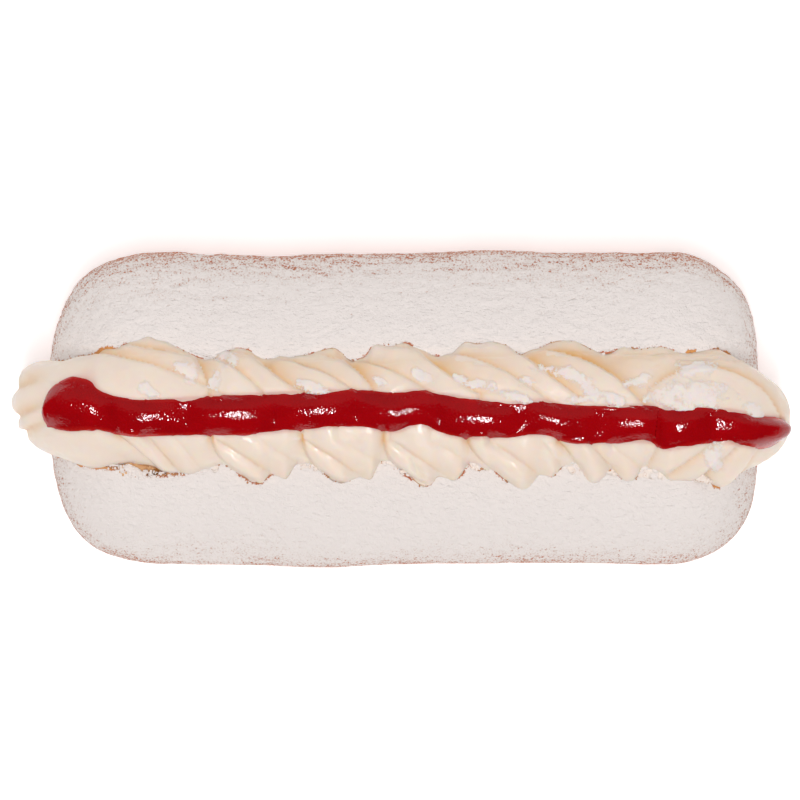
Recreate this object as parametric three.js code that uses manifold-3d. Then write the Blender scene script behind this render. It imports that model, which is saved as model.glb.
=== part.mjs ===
// Cream finger bun: a soft finger roll split along its top, filled with a piped rope of cream and a line of jam.
// Millimetres. +X runs along the roll, +Y across it and +Z up. The roll is drawn about the middle of its base,
// and the finished group is then moved so that its box stands on Z = 0, centred on the origin.

import * as THREE from "three";
import { ParametricGeometry } from "three/addons/geometries/ParametricGeometry.js";
import { mergeVertices } from "three/addons/utils/BufferGeometryUtils.js";
import Module from "manifold-3d";

const { clamp, lerp, smoothstep } = THREE.MathUtils;
const QUARTER_TURN = Math.PI / 2;

// The roll
const BUN_LENGTH = 160;
const BUN_WIDTH = 71;
const BUN_HEIGHT = 46;
const BUN_WAIST = 20; // height at which the roll is widest
const BASE_SHARE = 0.8; // the flat base's share of the roll's width
const DOME_POWER = 0.84; // under 1 gives the top a fuller shoulder than an ellipse
const SPINE_SHARE = 0.35; // levels narrower than this share close in on the middle of the roll
const LEFT_END = 24; // length over which each end rounds off
const RIGHT_END = 20.5;
const SIDE_SWELLS = [
  // a dent in the far side and a swelling in the near one: side, place along X, spread, height
  { side: 1, at: -24, spread: 14, height: -0.9 },
  { side: -1, at: -18, spread: 12, height: 0.8 },
];

// The rope of cream
const CREAM_LEFT = -88.1; // its two tips, past the ends of the roll
const CREAM_RIGHT = 86.2;
const CREAM_LEFT_Y = 0.7; // the rope lies slightly askew over the roll's middle
const CREAM_RIGHT_Y = -2;
const CREAM_Z = 40; // height of the rope's axis, just under the lips of the split
const CREAM_HALF_WIDTH = 13.6;
const CREAM_RISE = 12.2; // from the axis to the crest
const CREAM_DEPTH = 24; // from the axis down into the split
const WEDGE_POWER = 1.4; // between a straight-sided wedge, 1, and an ellipse, 2
const NOSE_HALF_WIDTH = 11; // the rope's section where it turns down at each tip
const NOSE_RISE = 9.6;
const NOSE_DEPTH = 6.5;
const NOSE_BEND = 8; // radius of that turn
const NOSE_CLOSE = 5; // length over which the turned-down end rounds shut
const WEDGE_RUN = 9; // length over which the filling of the split runs out at each end

// The piping: coils laid one against the next, each drawn into ridges by the star nozzle
const COIL_STARTS = [-64, -42.9, -26.5, -8.4, 9.2, 29.5, 49.8];
const COIL_LENGTH = 20; // typical, and carried on past the first and last coil
const COIL_LEAN = 4.5; // how far a coil's edge moves along X from the crest to the side
const COIL_BELLY = 0.5;
const COIL_TILT = 1.4;
const GROOVE_DEPTH = 3.2; // between two coils, at the side
const GROOVE_WIDTH = 2.2;
const RIDGES_PER_COIL = 3;
const RIDGE_LEAN = 14.5; // ridges cross the rope more slantwise than the coils' edges do
const RIDGE_HEIGHT = 1.5;
const NOSE_RIDGES = 1.5; // the lobes of the tips stand this many times as high
const STRAIGHT_BEFORE = -68; // left of this the ridges run straight along the rope
const FAN_AFTER = 56; // right of this they run straight on the far side and fan back on the near side
const FAN_RATE = 0.9;

// The split in the roll
const SPLIT_GAP = 0.8; // clear of the cream's highest ridges
const SPLIT_FOLLOW = 0.66; // how far its lips reach into the grooves between the coils

// The line of jam: place along the rope, place across the roll and half-width
const JAM_COURSE = [
  [-74.3, -1.4, 1.2],
  [-73, -0.1, 4.3],
  [-71.2, 0.7, 5.6],
  [-69.2, 0.4, 5.6],
  [-66, -0.8, 4.4],
  [-56, -1.9, 4],
  [-35, -1.3, 4.5],
  [-13, 0, 4.1],
  [-3, -0.8, 4.4],
  [3, 0.2, 4],
  [11, -1.7, 4.6],
  [22, -2.5, 3.9],
  [30, -1.9, 3.9],
  [38, -3.5, 4.2],
  [53, -3.3, 4.2],
  [58, -4.5, 4.6],
  [68, -3.6, 3.9],
  [71.7, -5.1, 3.5],
  [74.7, -4.9, 2.5],
  [76.2, -4.7, 0.9],
];
const JAM_FULL = 4; // half-width at which the bead has its full height
const JAM_RISE = 4.4; // that height, over the cream
const JAM_SINK = 3; // depth to which it reaches into the rope before the rope is cut out of it
const JAM_END_POWER = 40; // how abruptly the bead closes at its two ends
const JAM_GAP = 0.3;

// Facets
const PLAN_STEPS = 80;
const MERIDIAN_STEPS = 13;
const ROPE_GRID = { sides: 24, stations: 120, lean: RIDGE_LEAN };
const SPLIT_GRID = { sides: 24, stations: 84, lean: COIL_LEAN };
const UPRIGHT_RUN = 30; // length over which a grid's stations stand up again towards each tip
const TIP_STATIONS = 3; // the ones of a rope that close each tip
const JAM_STATIONS = 60;
const JAM_SIDES = 10;

const wasm = await Module();
wasm.setup();

// A closed surface of two parameters: the seam and the poles are merged, and the triangles they flatten dropped.
function closedSurface(point, slices, stacks) {
  const surface = new ParametricGeometry(point, slices, stacks);
  surface.deleteAttribute("normal");
  surface.deleteAttribute("uv");
  const merged = mergeVertices(surface, 1e-4);
  const corners = merged.index.array;
  const kept = [];
  for (let i = 0; i < corners.length; i += 3) {
    const [a, b, c] = corners.subarray(i, i + 3);
    if (a !== b && b !== c && c !== a) kept.push(a, b, c);
  }
  merged.setIndex(kept);
  return merged;
}

function toSolid(geometry) {
  return new wasm.Manifold(
    new wasm.Mesh({
      numProp: 3,
      vertProperties: geometry.attributes.position.array,
      triVerts: new Uint32Array(geometry.index.array),
    }),
  );
}

function toGeometry(solid) {
  const { vertProperties, triVerts } = solid.getMesh();
  return new THREE.BufferGeometry()
    .setAttribute("position", new THREE.BufferAttribute(vertProperties, 3))
    .setIndex(new THREE.BufferAttribute(triVerts, 1));
}

// Half-width of the roll on one side (1 far, -1 near) at a place along its length.
function halfWidth(x, side) {
  const swell = SIDE_SWELLS.filter((s) => s.side === side).reduce(
    (sum, s) => sum + s.height * Math.exp(-(((x - s.at) / s.spread) ** 2)),
    0,
  );
  return BUN_WIDTH / 2 + swell;
}

// The roll's outline seen from above, once round for turn 0 to 1: right end, far side, left end, near side.
function planOutline(turn) {
  const endShare = 0.2;
  const sideShare = 0.5 - endShare;
  const half = BUN_LENGTH / 2;
  const isLeft = turn >= 0.5;
  const along = (isLeft ? turn - 0.5 : turn) % 0.5;
  const end = isLeft ? LEFT_END : RIGHT_END;
  const otherEnd = isLeft ? RIGHT_END : LEFT_END;
  const way = isLeft ? -1 : 1;
  if (along <= endShare) {
    const angle = lerp(-QUARTER_TURN, QUARTER_TURN, along / endShare);
    const across = Math.sin(angle);
    const x = way * (half - end + end * Math.cos(angle));
    const y = way * Math.sign(across) * Math.sqrt(Math.abs(across));
    return [x, y * halfWidth(x, Math.sign(y) || 1)];
  }
  const x = way * lerp(half - end, otherEnd - half, (along - endShare) / sideShare);
  return [x, way * halfWidth(x, way)];
}

// From the middle of the base, out to the waist and up to the top: share of the outline, and height.
function meridian(rise) {
  const baseEnd = 1 / MERIDIAN_STEPS;
  const waistAt = 4 / MERIDIAN_STEPS;
  if (rise <= baseEnd) return [(BASE_SHARE * rise) / baseEnd, 0];
  if (rise <= waistAt) {
    const angle = (QUARTER_TURN * (rise - baseEnd)) / (waistAt - baseEnd);
    return [lerp(BASE_SHARE, 1, Math.sin(angle)), BUN_WAIST * (1 - Math.cos(angle))];
  }
  const angle = (QUARTER_TURN * (rise - waistAt)) / (1 - waistAt);
  const share = Math.max(Math.cos(angle), 0) ** DOME_POWER;
  return [share, lerp(BUN_WAIST, BUN_HEIGHT, Math.sin(angle))];
}

// The whole roll before it is split. Its levels shrink towards a spine, so that the ends are as round as the sides.
function rollPoint(turn, rise, target) {
  const [x, y] = planOutline(turn % 1);
  const [share, z] = meridian(rise);
  const spineEnd = (BUN_LENGTH - BUN_WIDTH) / 2;
  const spineX = clamp(x, -spineEnd, spineEnd);
  target.set(spineX * Math.min(1, share / SPINE_SHARE) + (x - spineX) * share, y * share, z);
}

// The rope's axis at a place along it: straight through the split, and turned down at both tips.
const NOSE_REACH = NOSE_BEND + NOSE_RISE + (NOSE_RIDGES * RIDGE_HEIGHT) / 2;
const LEFT_TURN = CREAM_LEFT + NOSE_REACH;
const RIGHT_TURN = CREAM_RIGHT - NOSE_REACH;
const TURN_LENGTH = NOSE_BEND * QUARTER_TURN;

function ropeAxis(s) {
  const way = s < 0 ? -1 : 1;
  const turnAt = way < 0 ? LEFT_TURN : RIGHT_TURN;
  const past = Math.max(way * (s - turnAt), 0);
  const angle = Math.min(past / NOSE_BEND, QUARTER_TURN);
  const drop = Math.max(past - TURN_LENGTH, 0);
  const x = (past > 0 ? turnAt : s) + way * NOSE_BEND * Math.sin(angle);
  return {
    x,
    y: lerp(CREAM_LEFT_Y, CREAM_RIGHT_Y, (x - CREAM_LEFT) / (CREAM_RIGHT - CREAM_LEFT)),
    z: CREAM_Z - NOSE_BEND * (1 - Math.cos(angle)) - drop,
    upX: way * Math.sin(angle),
    upZ: Math.cos(angle),
    turned: smoothstep(past / TURN_LENGTH, 0, 1),
    inSplit: smoothstep(Math.min(s - LEFT_TURN, RIGHT_TURN - s), 0, WEDGE_RUN),
  };
}

// A point given in the rope's own section: across it, and up from its axis.
function onRope(s, across, up, target) {
  const axis = ropeAxis(s);
  target.set(axis.x + up * axis.upX, axis.y + across, axis.z + up * axis.upZ);
}

// Which coil a place belongs to, counted from 0, with the share of that coil as a fraction.
function coilCount(x) {
  const last = COIL_STARTS.length - 1;
  if (x <= COIL_STARTS[0]) return (x - COIL_STARTS[0]) / COIL_LENGTH;
  if (x >= COIL_STARTS[last]) return last + (x - COIL_STARTS[last]) / COIL_LENGTH;
  const i = COIL_STARTS.findIndex((start) => start > x) - 1;
  return i + (x - COIL_STARTS[i]) / (COIL_STARTS[i + 1] - COIL_STARTS[i]);
}

// The rope's section without its piping: an ellipse above, and a rounded wedge below that fills the split.
function plainRadius(s, angle) {
  const { turned, inSplit } = ropeAxis(s);
  const below = smoothstep(-Math.sin(angle), 0.05, 0.6);
  const half = lerp(CREAM_HALF_WIDTH, NOSE_HALF_WIDTH, turned);
  const rise = lerp(CREAM_RISE, NOSE_RISE, turned);
  const height = Math.sin(angle) > 0 ? rise : lerp(NOSE_DEPTH, CREAM_DEPTH, inSplit);
  const power = lerp(2, WEDGE_POWER, below * inSplit);
  const across = Math.abs(Math.cos(angle) / half) ** power;
  const upward = Math.abs(Math.sin(angle) / height) ** power;
  return (across + upward) ** (-1 / power);
}

// The piping shows all round the rope's tips, and between them only where the split does not hide it.
function pipingShare(s, angle) {
  return lerp(1, smoothstep(Math.sin(angle), -0.55, -0.15), ropeAxis(s).inSplit);
}

// The coils: each swells in its middle, tilts over its neighbour and is set off from it by a groove.
function coilRelief(s, angle) {
  const side = Math.cos(angle);
  const count = coilCount(s + COIL_LEAN * side);
  const share = count - Math.floor(count);
  const toEdge = Math.min(share, 1 - share) * COIL_LENGTH;
  const groove = GROOVE_DEPTH * side ** 4 * Math.exp(-((toEdge / GROOVE_WIDTH) ** 2));
  const belly = COIL_BELLY * (4 * share * (1 - share) - 0.5);
  const tilt = COIL_TILT * side * (2 * share - 1);
  const coiled = smoothstep(s, LEFT_TURN, COIL_STARTS[0]) - smoothstep(s, FAN_AFTER, RIGHT_TURN);
  return coiled * (belly + tilt - groove);
}

function ridgeHeight(s) {
  return RIDGE_HEIGHT * lerp(1, NOSE_RIDGES, ropeAxis(s).turned);
}

// The ridges left by the nozzle's teeth: round crests with sharp valleys between them.
function ridgeRelief(s, angle) {
  const side = Math.cos(angle);
  const fanned = FAN_RATE * smoothstep(-side, 0, 0.6) * Math.max(s - FAN_AFTER, 0);
  const place = clamp(s, STRAIGHT_BEFORE, FAN_AFTER) - fanned;
  const count = RIDGES_PER_COIL * coilCount(place + RIDGE_LEAN * side);
  const fromCrest = 2 * (count - Math.floor(count)) - 1;
  return ridgeHeight(s) * (0.5 - fromCrest * fromCrest);
}

function piping(s, angle) {
  return coilRelief(s, angle) + ridgeRelief(s, angle);
}

// The split's lips follow the coils, reach part of the way into their grooves and clear the tallest ridge.
function splitPiping(s, angle) {
  const coil = coilRelief(s, angle);
  return ridgeHeight(s) / 2 + Math.max(coil, SPLIT_FOLLOW * coil);
}

// The rope as a closed surface, with a chosen relief, and grown by a gap when it is to be cut out of a neighbour.
// Its stations lean with the relief, so that facets run along it, and the first and last few round off the tips.
function ropeSurface(relief, gap, grid) {
  const closing = NOSE_CLOSE + gap;
  const start = LEFT_TURN - TURN_LENGTH - closing;
  const end = RIGHT_TURN + TURN_LENGTH + closing;
  const tip = TIP_STATIONS / grid.stations;
  const point = (around, along, target) => {
    const fromTip = Math.min(along, 1 - along);
    const rounding = QUARTER_TURN * clamp(fromTip / tip, 0, 1);
    const inward = closing * (1 - Math.cos(rounding));
    const middle = lerp(start + closing, end - closing, (along - tip) / (1 - 2 * tip));
    const station = fromTip >= tip ? middle : along < 0.5 ? start + inward : end - inward;
    const angle = 2 * Math.PI * around;
    const leaning = smoothstep(Math.min(station - LEFT_TURN, RIGHT_TURN - station), 0, UPRIGHT_RUN);
    const s = station - grid.lean * Math.cos(angle) * leaning;
    const radius = plainRadius(s, angle) + gap + pipingShare(s, angle) * relief(s, angle);
    const open = radius * Math.sin(rounding);
    onRope(s, open * Math.cos(angle), open * Math.sin(angle), target);
  };
  return closedSurface(point, grid.sides, grid.stations);
}

// The bead of jam: a flattened round section carried along its course over the crest of the rope.
const jamCourse = new THREE.CatmullRomCurve3(
  JAM_COURSE.map((p) => new THREE.Vector3(...p)),
  false,
  "catmullrom",
);

function jamPoint(around, along, target) {
  const { x: s, y, z: half } = jamCourse.getPoint(along);
  const ends = Math.sqrt(1 - (2 * along - 1) ** JAM_END_POWER);
  const angle = 2 * Math.PI * around;
  const across = y - ropeAxis(s).y;
  const lean = Math.atan2(CREAM_RISE, across);
  const crest = plainRadius(s, lean) * Math.sin(lean);
  const height = Math.sin(angle) > 0 ? JAM_RISE : JAM_SINK;
  const full = Math.min(1, half / JAM_FULL) * ends;
  onRope(s, across + half * ends * Math.cos(angle), crest + height * full * Math.sin(angle), target);
}

function namedMesh(name, geometry, color, roughness) {
  const material = new THREE.MeshStandardMaterial({ color, roughness, metalness: 0 });
  const mesh = new THREE.Mesh(geometry, material);
  mesh.name = name;
  return mesh;
}

const roll = toSolid(closedSurface(rollPoint, PLAN_STEPS, MERIDIAN_STEPS));
const bun = toGeometry(roll.subtract(toSolid(ropeSurface(splitPiping, SPLIT_GAP, SPLIT_GRID))));
const cream = ropeSurface(piping, 0, ROPE_GRID);
const bead = toSolid(closedSurface(jamPoint, JAM_SIDES, JAM_STATIONS));
const jam = toGeometry(bead.subtract(toSolid(ropeSurface(piping, JAM_GAP, ROPE_GRID))));

const creamFingerBun = new THREE.Group();
creamFingerBun.add(
  namedMesh("bun", bun, "#e7ded9", 0.95),
  namedMesh("cream", cream, "#eadbcb", 0.45),
  namedMesh("jam", jam, "#96000a", 0.15),
);

const box = new THREE.Box3().setFromObject(creamFingerBun);
const middle = box.getCenter(new THREE.Vector3());
creamFingerBun.position.set(-middle.x, -middle.y, -box.min.z);

export default creamFingerBun;
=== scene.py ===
# %% [markdown]
# # A cream finger bun
# The real bun is a soft finger roll, split along its top, with a rope of cream piped into the split, a line
# of jam on the cream and icing sugar sieved over all of it. Each of these is one surface here, worked out as
# whole numpy arrays from a few sizes in millimetres, and then given a material of its own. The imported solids
# come first, because every piece has to lie where they are.

# %% Load the solids
import itertools

import bmesh
import bpy
import numpy as np
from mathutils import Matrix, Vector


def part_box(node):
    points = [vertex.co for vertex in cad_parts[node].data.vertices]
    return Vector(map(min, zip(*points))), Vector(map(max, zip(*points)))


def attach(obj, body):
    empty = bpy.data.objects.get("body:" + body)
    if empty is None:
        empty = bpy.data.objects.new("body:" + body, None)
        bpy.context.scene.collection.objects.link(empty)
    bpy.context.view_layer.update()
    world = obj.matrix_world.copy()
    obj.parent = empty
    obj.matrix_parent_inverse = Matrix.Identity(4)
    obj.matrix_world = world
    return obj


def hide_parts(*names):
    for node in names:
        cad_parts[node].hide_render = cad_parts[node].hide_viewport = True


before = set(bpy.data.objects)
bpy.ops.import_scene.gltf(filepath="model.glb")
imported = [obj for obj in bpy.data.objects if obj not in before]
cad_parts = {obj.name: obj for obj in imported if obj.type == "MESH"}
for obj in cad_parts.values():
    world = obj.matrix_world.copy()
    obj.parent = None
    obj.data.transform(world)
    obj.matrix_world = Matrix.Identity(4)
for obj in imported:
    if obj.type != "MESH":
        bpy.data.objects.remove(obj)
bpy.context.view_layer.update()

MM = 0.001
BUN_WIDTH = 71.0
bun_low, bun_high = (np.array(corner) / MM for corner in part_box("bun"))
BUN_LENGTH = bun_high[0] - bun_low[0]
ROLL_MIDDLE = np.array([(bun_low[0] + bun_high[0]) / 2, bun_high[1] - BUN_WIDTH / 2, 0.0])
print("roll", BUN_LENGTH.round(1), "mm long, its middle at", ROLL_MIDDLE.round(2))

# %% [markdown]
# ## Small tools
# A surface on a grid needs three things: blends between values, smooth random relief and a way into a mesh.
# Blender's own noise works one point at a time, so the relief here is value noise on whole arrays: random
# numbers on a lattice, blended between its corners. The lattice is seeded, so every run gives the same bun.

# %% Blends, noise and meshes
QUARTER_TURN = np.pi / 2
LATTICE = 32
WELD_DISTANCE = 1e-7
LEAST_LENGTH = 1e-9


def lerp(start, end, share):
    """From start to end by a share between 0 and 1."""
    return start + (end - start) * share


def smoothstep(low, high, value):
    """0 below low, 1 above high, and an S-shaped rise between them."""
    share = np.clip((value - low) / (high - low), 0, 1)
    return share * share * (3 - 2 * share)


def bell(offset, spread):
    """1 where there is no offset, falling to 0 on both sides: exp(-(offset / spread)^2)."""
    return np.exp(-((offset / spread) ** 2))


def noise(points, cell, seed):
    """Value noise from -1 to 1 on a lattice of `cell` mm: eight corners round a point, smoothly weighted."""
    lattice = np.random.default_rng(seed).uniform(-1, 1, (LATTICE,) * 3)
    scaled = points / np.asarray(cell, float)
    corner = np.floor(scaled).astype(int)
    share = scaled - corner
    share = share**3 * (share * (share * 6 - 15) + 10)
    total = 0.0
    for step in itertools.product((0, 1), repeat=3):
        weight = np.prod(np.where(step, share, 1 - share), axis=-1)
        place = (corner + step) % LATTICE
        total = total + weight * lattice[place[..., 0], place[..., 1], place[..., 2]]
    return total


def rough(points, cell, octaves, seed):
    """Noise with finer noise on it: each octave has half the cell and half the height of the last."""
    cell = np.asarray(cell, float)
    return sum(noise(points, cell / 2**k, seed + k) / 2**k for k in range(octaves))


def grid_normals(points):
    """Unit normals of a grid of points: the cross product of its two directions, the second one closed."""
    around = np.roll(points, -1, axis=1) - np.roll(points, 1, axis=1)
    along = np.gradient(points, axis=0)
    normal = np.cross(around, along)
    return normal / np.maximum(np.linalg.norm(normal, axis=-1, keepdims=True), LEAST_LENGTH)


def closed_grid_faces(rows, columns):
    """Quads of a grid whose columns close on themselves, as an array of four corners each."""
    row, column = np.meshgrid(np.arange(rows - 1), np.arange(columns), indexing="ij")
    start, after = row * columns, (column + 1) % columns
    corners = (start + column, start + after, start + columns + after, start + columns + column)
    return np.stack(corners, axis=-1).reshape(-1, 4)


def set_attribute(mesh, key, values):
    """One number for each point of a mesh, under a name that a material can read."""
    layer = mesh.attributes.new(key, "FLOAT", "POINT")
    layer.data.foreach_set("value", np.asarray(values, np.float32).ravel())


def make_piece(name, points, faces, attributes=None):
    """A mesh object at the origin, from points in mm in the roll's frame, with its doubled points welded."""
    points = np.asarray(points).reshape(-1, 3)
    mesh = bpy.data.meshes.new(name)
    mesh.vertices.add(len(points))
    mesh.vertices.foreach_set("co", ((points + ROLL_MIDDLE) * MM).astype(np.float32).ravel())
    mesh.loops.add(faces.size)
    mesh.loops.foreach_set("vertex_index", faces.astype(np.int32).ravel())
    mesh.polygons.add(len(faces))
    mesh.polygons.foreach_set("loop_start", np.arange(0, faces.size, faces.shape[1], dtype=np.int32))
    mesh.update(calc_edges=True)
    for key, values in (attributes or {}).items():
        set_attribute(mesh, key, values)
    weld = bmesh.new()
    weld.from_mesh(mesh)
    bmesh.ops.remove_doubles(weld, verts=weld.verts, dist=WELD_DISTANCE)
    weld.to_mesh(mesh)
    weld.free()
    mesh.shade_smooth()
    piece = bpy.data.objects.new(name, mesh)
    bpy.context.scene.collection.objects.link(piece)
    return piece


def read_points(mesh, what="co"):
    """Points in mm in the roll's frame, or unit normals, of every vertex of a mesh."""
    values = np.empty(len(mesh.vertices) * 3, np.float32)
    mesh.vertices.foreach_get(what, values)
    values = values.reshape(-1, 3).astype(float)
    return values / MM - ROLL_MIDDLE if what == "co" else values


# %% [markdown]
# ## The rope of cream, as a formula
# A star nozzle moved in small circles lays a rope of coils, and each coil of strands that lap over each
# other. The rope is a radius about an axis, which is straight along the split and turns down at both tips.
# How far it reaches to each side is given at the tips of its petals and in the notches between them, with a
# smooth swing from one to the next. That line is also where the bread's lips lie, so the same formula splits
# the roll.

# %% The rope's sizes and axis
CREAM_LEFT, CREAM_RIGHT = -88.1, 86.2
CREAM_LEFT_Y, CREAM_RIGHT_Y = 0.7, -2.0
CREAM_Z = 40.0
CREAM_RISE, CREAM_DEPTH = 12.2, 24.0
NOSE_FAR, NOSE_NEAR, NOSE_RISE, NOSE_DEPTH = 9.3, 10.3, 9.6, 6.5
NOSE_BEND, NOSE_CLOSE = 8.0, 5.0
NOSE_LOBE, NOSE_POWER = 1.1, 3.2
WEDGE_RUN, WEDGE_POWER, WEDGE_BLEND = 9.0, 1.4, (0.05, 0.6)
PIPING_FADE = -0.55, -0.15
TIP_ROWS = 9
NOSE_REACH = NOSE_BEND + NOSE_RISE
LEFT_TURN, RIGHT_TURN = CREAM_LEFT + NOSE_REACH + NOSE_LOBE, CREAM_RIGHT - NOSE_REACH
TURN_LENGTH = NOSE_BEND * QUARTER_TURN


def axis_y(x):
    """The rope lies a little askew: its axis runs in a straight line from one tip to the other."""
    return lerp(CREAM_LEFT_Y, CREAM_RIGHT_Y, (x - CREAM_LEFT) / (CREAM_RIGHT - CREAM_LEFT))


def rope_axis(s):
    """The axis at s: straight, then a quarter turn down at each tip.

    Returns x, y and z, the way up as x and z, how far it has turned, and how far it is inside the split.
    """
    way = np.where(s < 0, -1, 1)
    turn_at = np.where(s < 0, LEFT_TURN, RIGHT_TURN)
    past = np.maximum(way * (s - turn_at), 0)
    angle = np.minimum(past / NOSE_BEND, QUARTER_TURN)
    drop = np.maximum(past - TURN_LENGTH, 0)
    x = np.where(past > 0, turn_at, s) + way * NOSE_BEND * np.sin(angle)
    z = CREAM_Z - NOSE_BEND * (1 - np.cos(angle)) - drop
    turned = smoothstep(0, 1, past / TURN_LENGTH)
    in_split = smoothstep(0, WEDGE_RUN, np.minimum(s - LEFT_TURN, RIGHT_TURN - s))
    return x, axis_y(x), z, way * np.sin(angle), np.cos(angle), turned, in_split


def on_rope(s, across, up):
    """Points given in the rope's own section: across it, and up from its axis."""
    x, y, z, up_x, up_z, _, _ = rope_axis(s)
    return np.stack([x + up * up_x, y + across, z + up * up_z], axis=-1)


# %% The lips, at the tips of the petals and in the notches between them
# Each row is x along the roll, and how far the lip is from the rope's axis there.
FAR_LIP = np.array(
    [
        [-78.5, 9], [-75, 9.3], [-72.5, 10.7], [-69.8, 11.1], [-67.8, 12.6], [-64.2, 13], [-62, 14.6],
        [-57.1, 15.2], [-53.2, 14.2], [-44.8, 10.8], [-42.5, 11.2], [-38, 13.1], [-35.2, 13.1], [-31.6, 10.5],
        [-28.5, 11.5], [-19.2, 12.5], [-16.3, 13.5], [-12, 11], [-9.1, 11.7], [-7.8, 13.8], [0.2, 15.1],
        [3.1, 13.1], [7.6, 11.9], [9.8, 12.5], [12.9, 14.6], [18.7, 15], [22.7, 14.5], [25.6, 12.8],
        [28.7, 13.9], [34.3, 15.8], [37.6, 15.5], [44.3, 13.3], [48.8, 14.7], [57.7, 15.5], [61, 14.2],
        [70, 15], [78.2, 12.4],
    ]
)
NEAR_LIP = np.array(
    [
        [-79, 11.1], [-59.3, 15.7], [-50.3, 14.7], [-44, 12.9], [-40.6, 12.1], [-34.5, 15.5], [-32.2, 15.8],
        [-30.5, 13.6], [-26.7, 14.8], [-24.5, 11.8], [-21.4, 11.6], [-16.4, 15.3], [-14, 15.8], [-10.8, 13.8],
        [-7.5, 14.5], [-6, 11], [-4, 10.8], [2.9, 15.4], [4.8, 15.8], [6.9, 13.3], [10.9, 14.5], [12.2, 14],
        [13.6, 11.2], [15.6, 11.4], [17.4, 13], [18.7, 12.2], [24.7, 16], [26.4, 16.1], [29.5, 13],
        [32.8, 14.1], [34.3, 11.4], [38.2, 11.1], [40.3, 14.2], [42.6, 14.3], [45.4, 11.8], [48.8, 14.2],
        [51, 14.1], [52.9, 11.4], [55.5, 11.7], [58.5, 14.2], [66, 13.7], [71, 14.9],
        [74, 13.2], [76.2, 13.9], [79, 13.2],
    ]
)
LIP_Z = 44.8
LIP_FALL, LIP_FALLEN = 56.0, 72.0
LIP_ROUND, LIP_STEP, BELL_STEPS = 0.55, 0.2, 15
LIP_SAMPLES = np.arange(-100, 100, LIP_STEP)


def swing(places, reaches, x):
    """A line that runs straight from one reach to the next, its corners rounded by a bell-shaped average."""
    weights = np.exp(-0.5 * (np.arange(-BELL_STEPS, BELL_STEPS + 1) * LIP_STEP / LIP_ROUND) ** 2)
    straight = np.interp(LIP_SAMPLES, places, reaches)
    return np.interp(x, LIP_SAMPLES, np.convolve(straight, weights / weights.sum(), "same"))


def lip_level(s):
    """Height of the lips above the rope's axis: level, then none where the roll's top falls away."""
    return lerp(LIP_Z - CREAM_Z, 0, smoothstep(LIP_FALL, LIP_FALLEN, np.abs(s)))


def plain_radius(s, angle):
    """Radius of the plain section: an ellipse above the axis, a superellipse close to a wedge below it.

    It is (|cos / half| ** p + |sin / height| ** p) ** (-1 / p): p is 2 for the ellipse, less for the wedge
    and more where the left tip is squarer, on its far side.
    """
    *_, turned, in_split = rope_axis(s)
    sine, cosine = np.sin(angle), np.cos(angle)
    lip = np.where(cosine > 0, swing(*FAR_LIP.T, s), swing(*NEAR_LIP.T, s))
    half = lip / np.sqrt(1 - (lip_level(s) / CREAM_RISE) ** 2)
    half = lerp(half, np.where(cosine > 0, NOSE_FAR, NOSE_NEAR), turned)
    depth = lerp(NOSE_DEPTH, CREAM_DEPTH, in_split)
    height = np.where(sine > 0, lerp(CREAM_RISE, NOSE_RISE, turned), depth)
    power = lerp(2, WEDGE_POWER, smoothstep(*WEDGE_BLEND, -sine) * in_split)
    power = np.where((cosine > 0) & (sine > 0) & (s < 0), lerp(2, NOSE_POWER, turned), power)
    return (np.abs(cosine / half) ** power + np.abs(sine / height) ** power) ** (-1 / power)


def piping_share(s, angle):
    """1 where the piping shows, falling to 0 in the wedge that the split hides."""
    in_split = rope_axis(s)[-1]
    return lerp(1, smoothstep(*PIPING_FADE, np.sin(angle)), in_split)


def rope_stations(count):
    """Places along the rope, even, then closing in on each tip as a round end does; and how open it is."""
    tip = np.linspace(0, QUARTER_TURN, TIP_ROWS)[:-1]
    start, end = LEFT_TURN - TURN_LENGTH, RIGHT_TURN + TURN_LENGTH
    middle = np.linspace(start, end, count)
    closing = NOSE_CLOSE * np.cos(tip)
    s = np.concatenate([start - closing, middle, (end + closing)[::-1]])
    open_share = np.concatenate([np.sin(tip), np.ones(count), np.sin(tip)[::-1]])
    return s, open_share


print("lips", FAR_LIP[:, 1].max() + NEAR_LIP[:, 1].max(), "mm apart at the most")

# %% [markdown]
# ## The roll
# The roll's outline from above is two straight sides and two blunt ends, |y| = (1 - d^2)^(1/4), which is
# blunter than a circle. Levels of that outline shrink towards a spine as they rise, as a dome does. The dough
# swells a little here and there, and the sugar on it wrinkles and clumps. All of that is real relief in the
# mesh, pushed out along the normals, and only what is finer is left to the material.

# %% The roll's outside
BUN_HEIGHT, BUN_WAIST = 46.0, 20.0
BASE_SHARE, DOME_POWER, END_POWER, SPINE_SHARE = 0.8, 0.84, 0.55, 0.35
LEFT_END, RIGHT_END = 24.0, 20.5
FAR_DENT = (-24.0, 14.0, -0.9)
NEAR_SWELL = (-18.0, 12.0, 0.8)
LEFT_SWELL, SWELL_SPREAD = 1.8, 18.0
GRID_STEP, END_SAMPLES, SIDE_SAMPLES = 0.65, 4001, 801
BASE_ROWS, LOWER_ROWS, UPPER_ROWS = 6, 27, 66


def half_width(x, y):
    """Half of the width, with a bell-shaped dent in the far side and such a swelling in the near one."""
    dent, swelling = (height * bell(x - place, spread) for place, spread, height in (FAR_DENT, NEAR_SWELL))
    return BUN_WIDTH / 2 + np.where(y > 0, dent, swelling)


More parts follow.
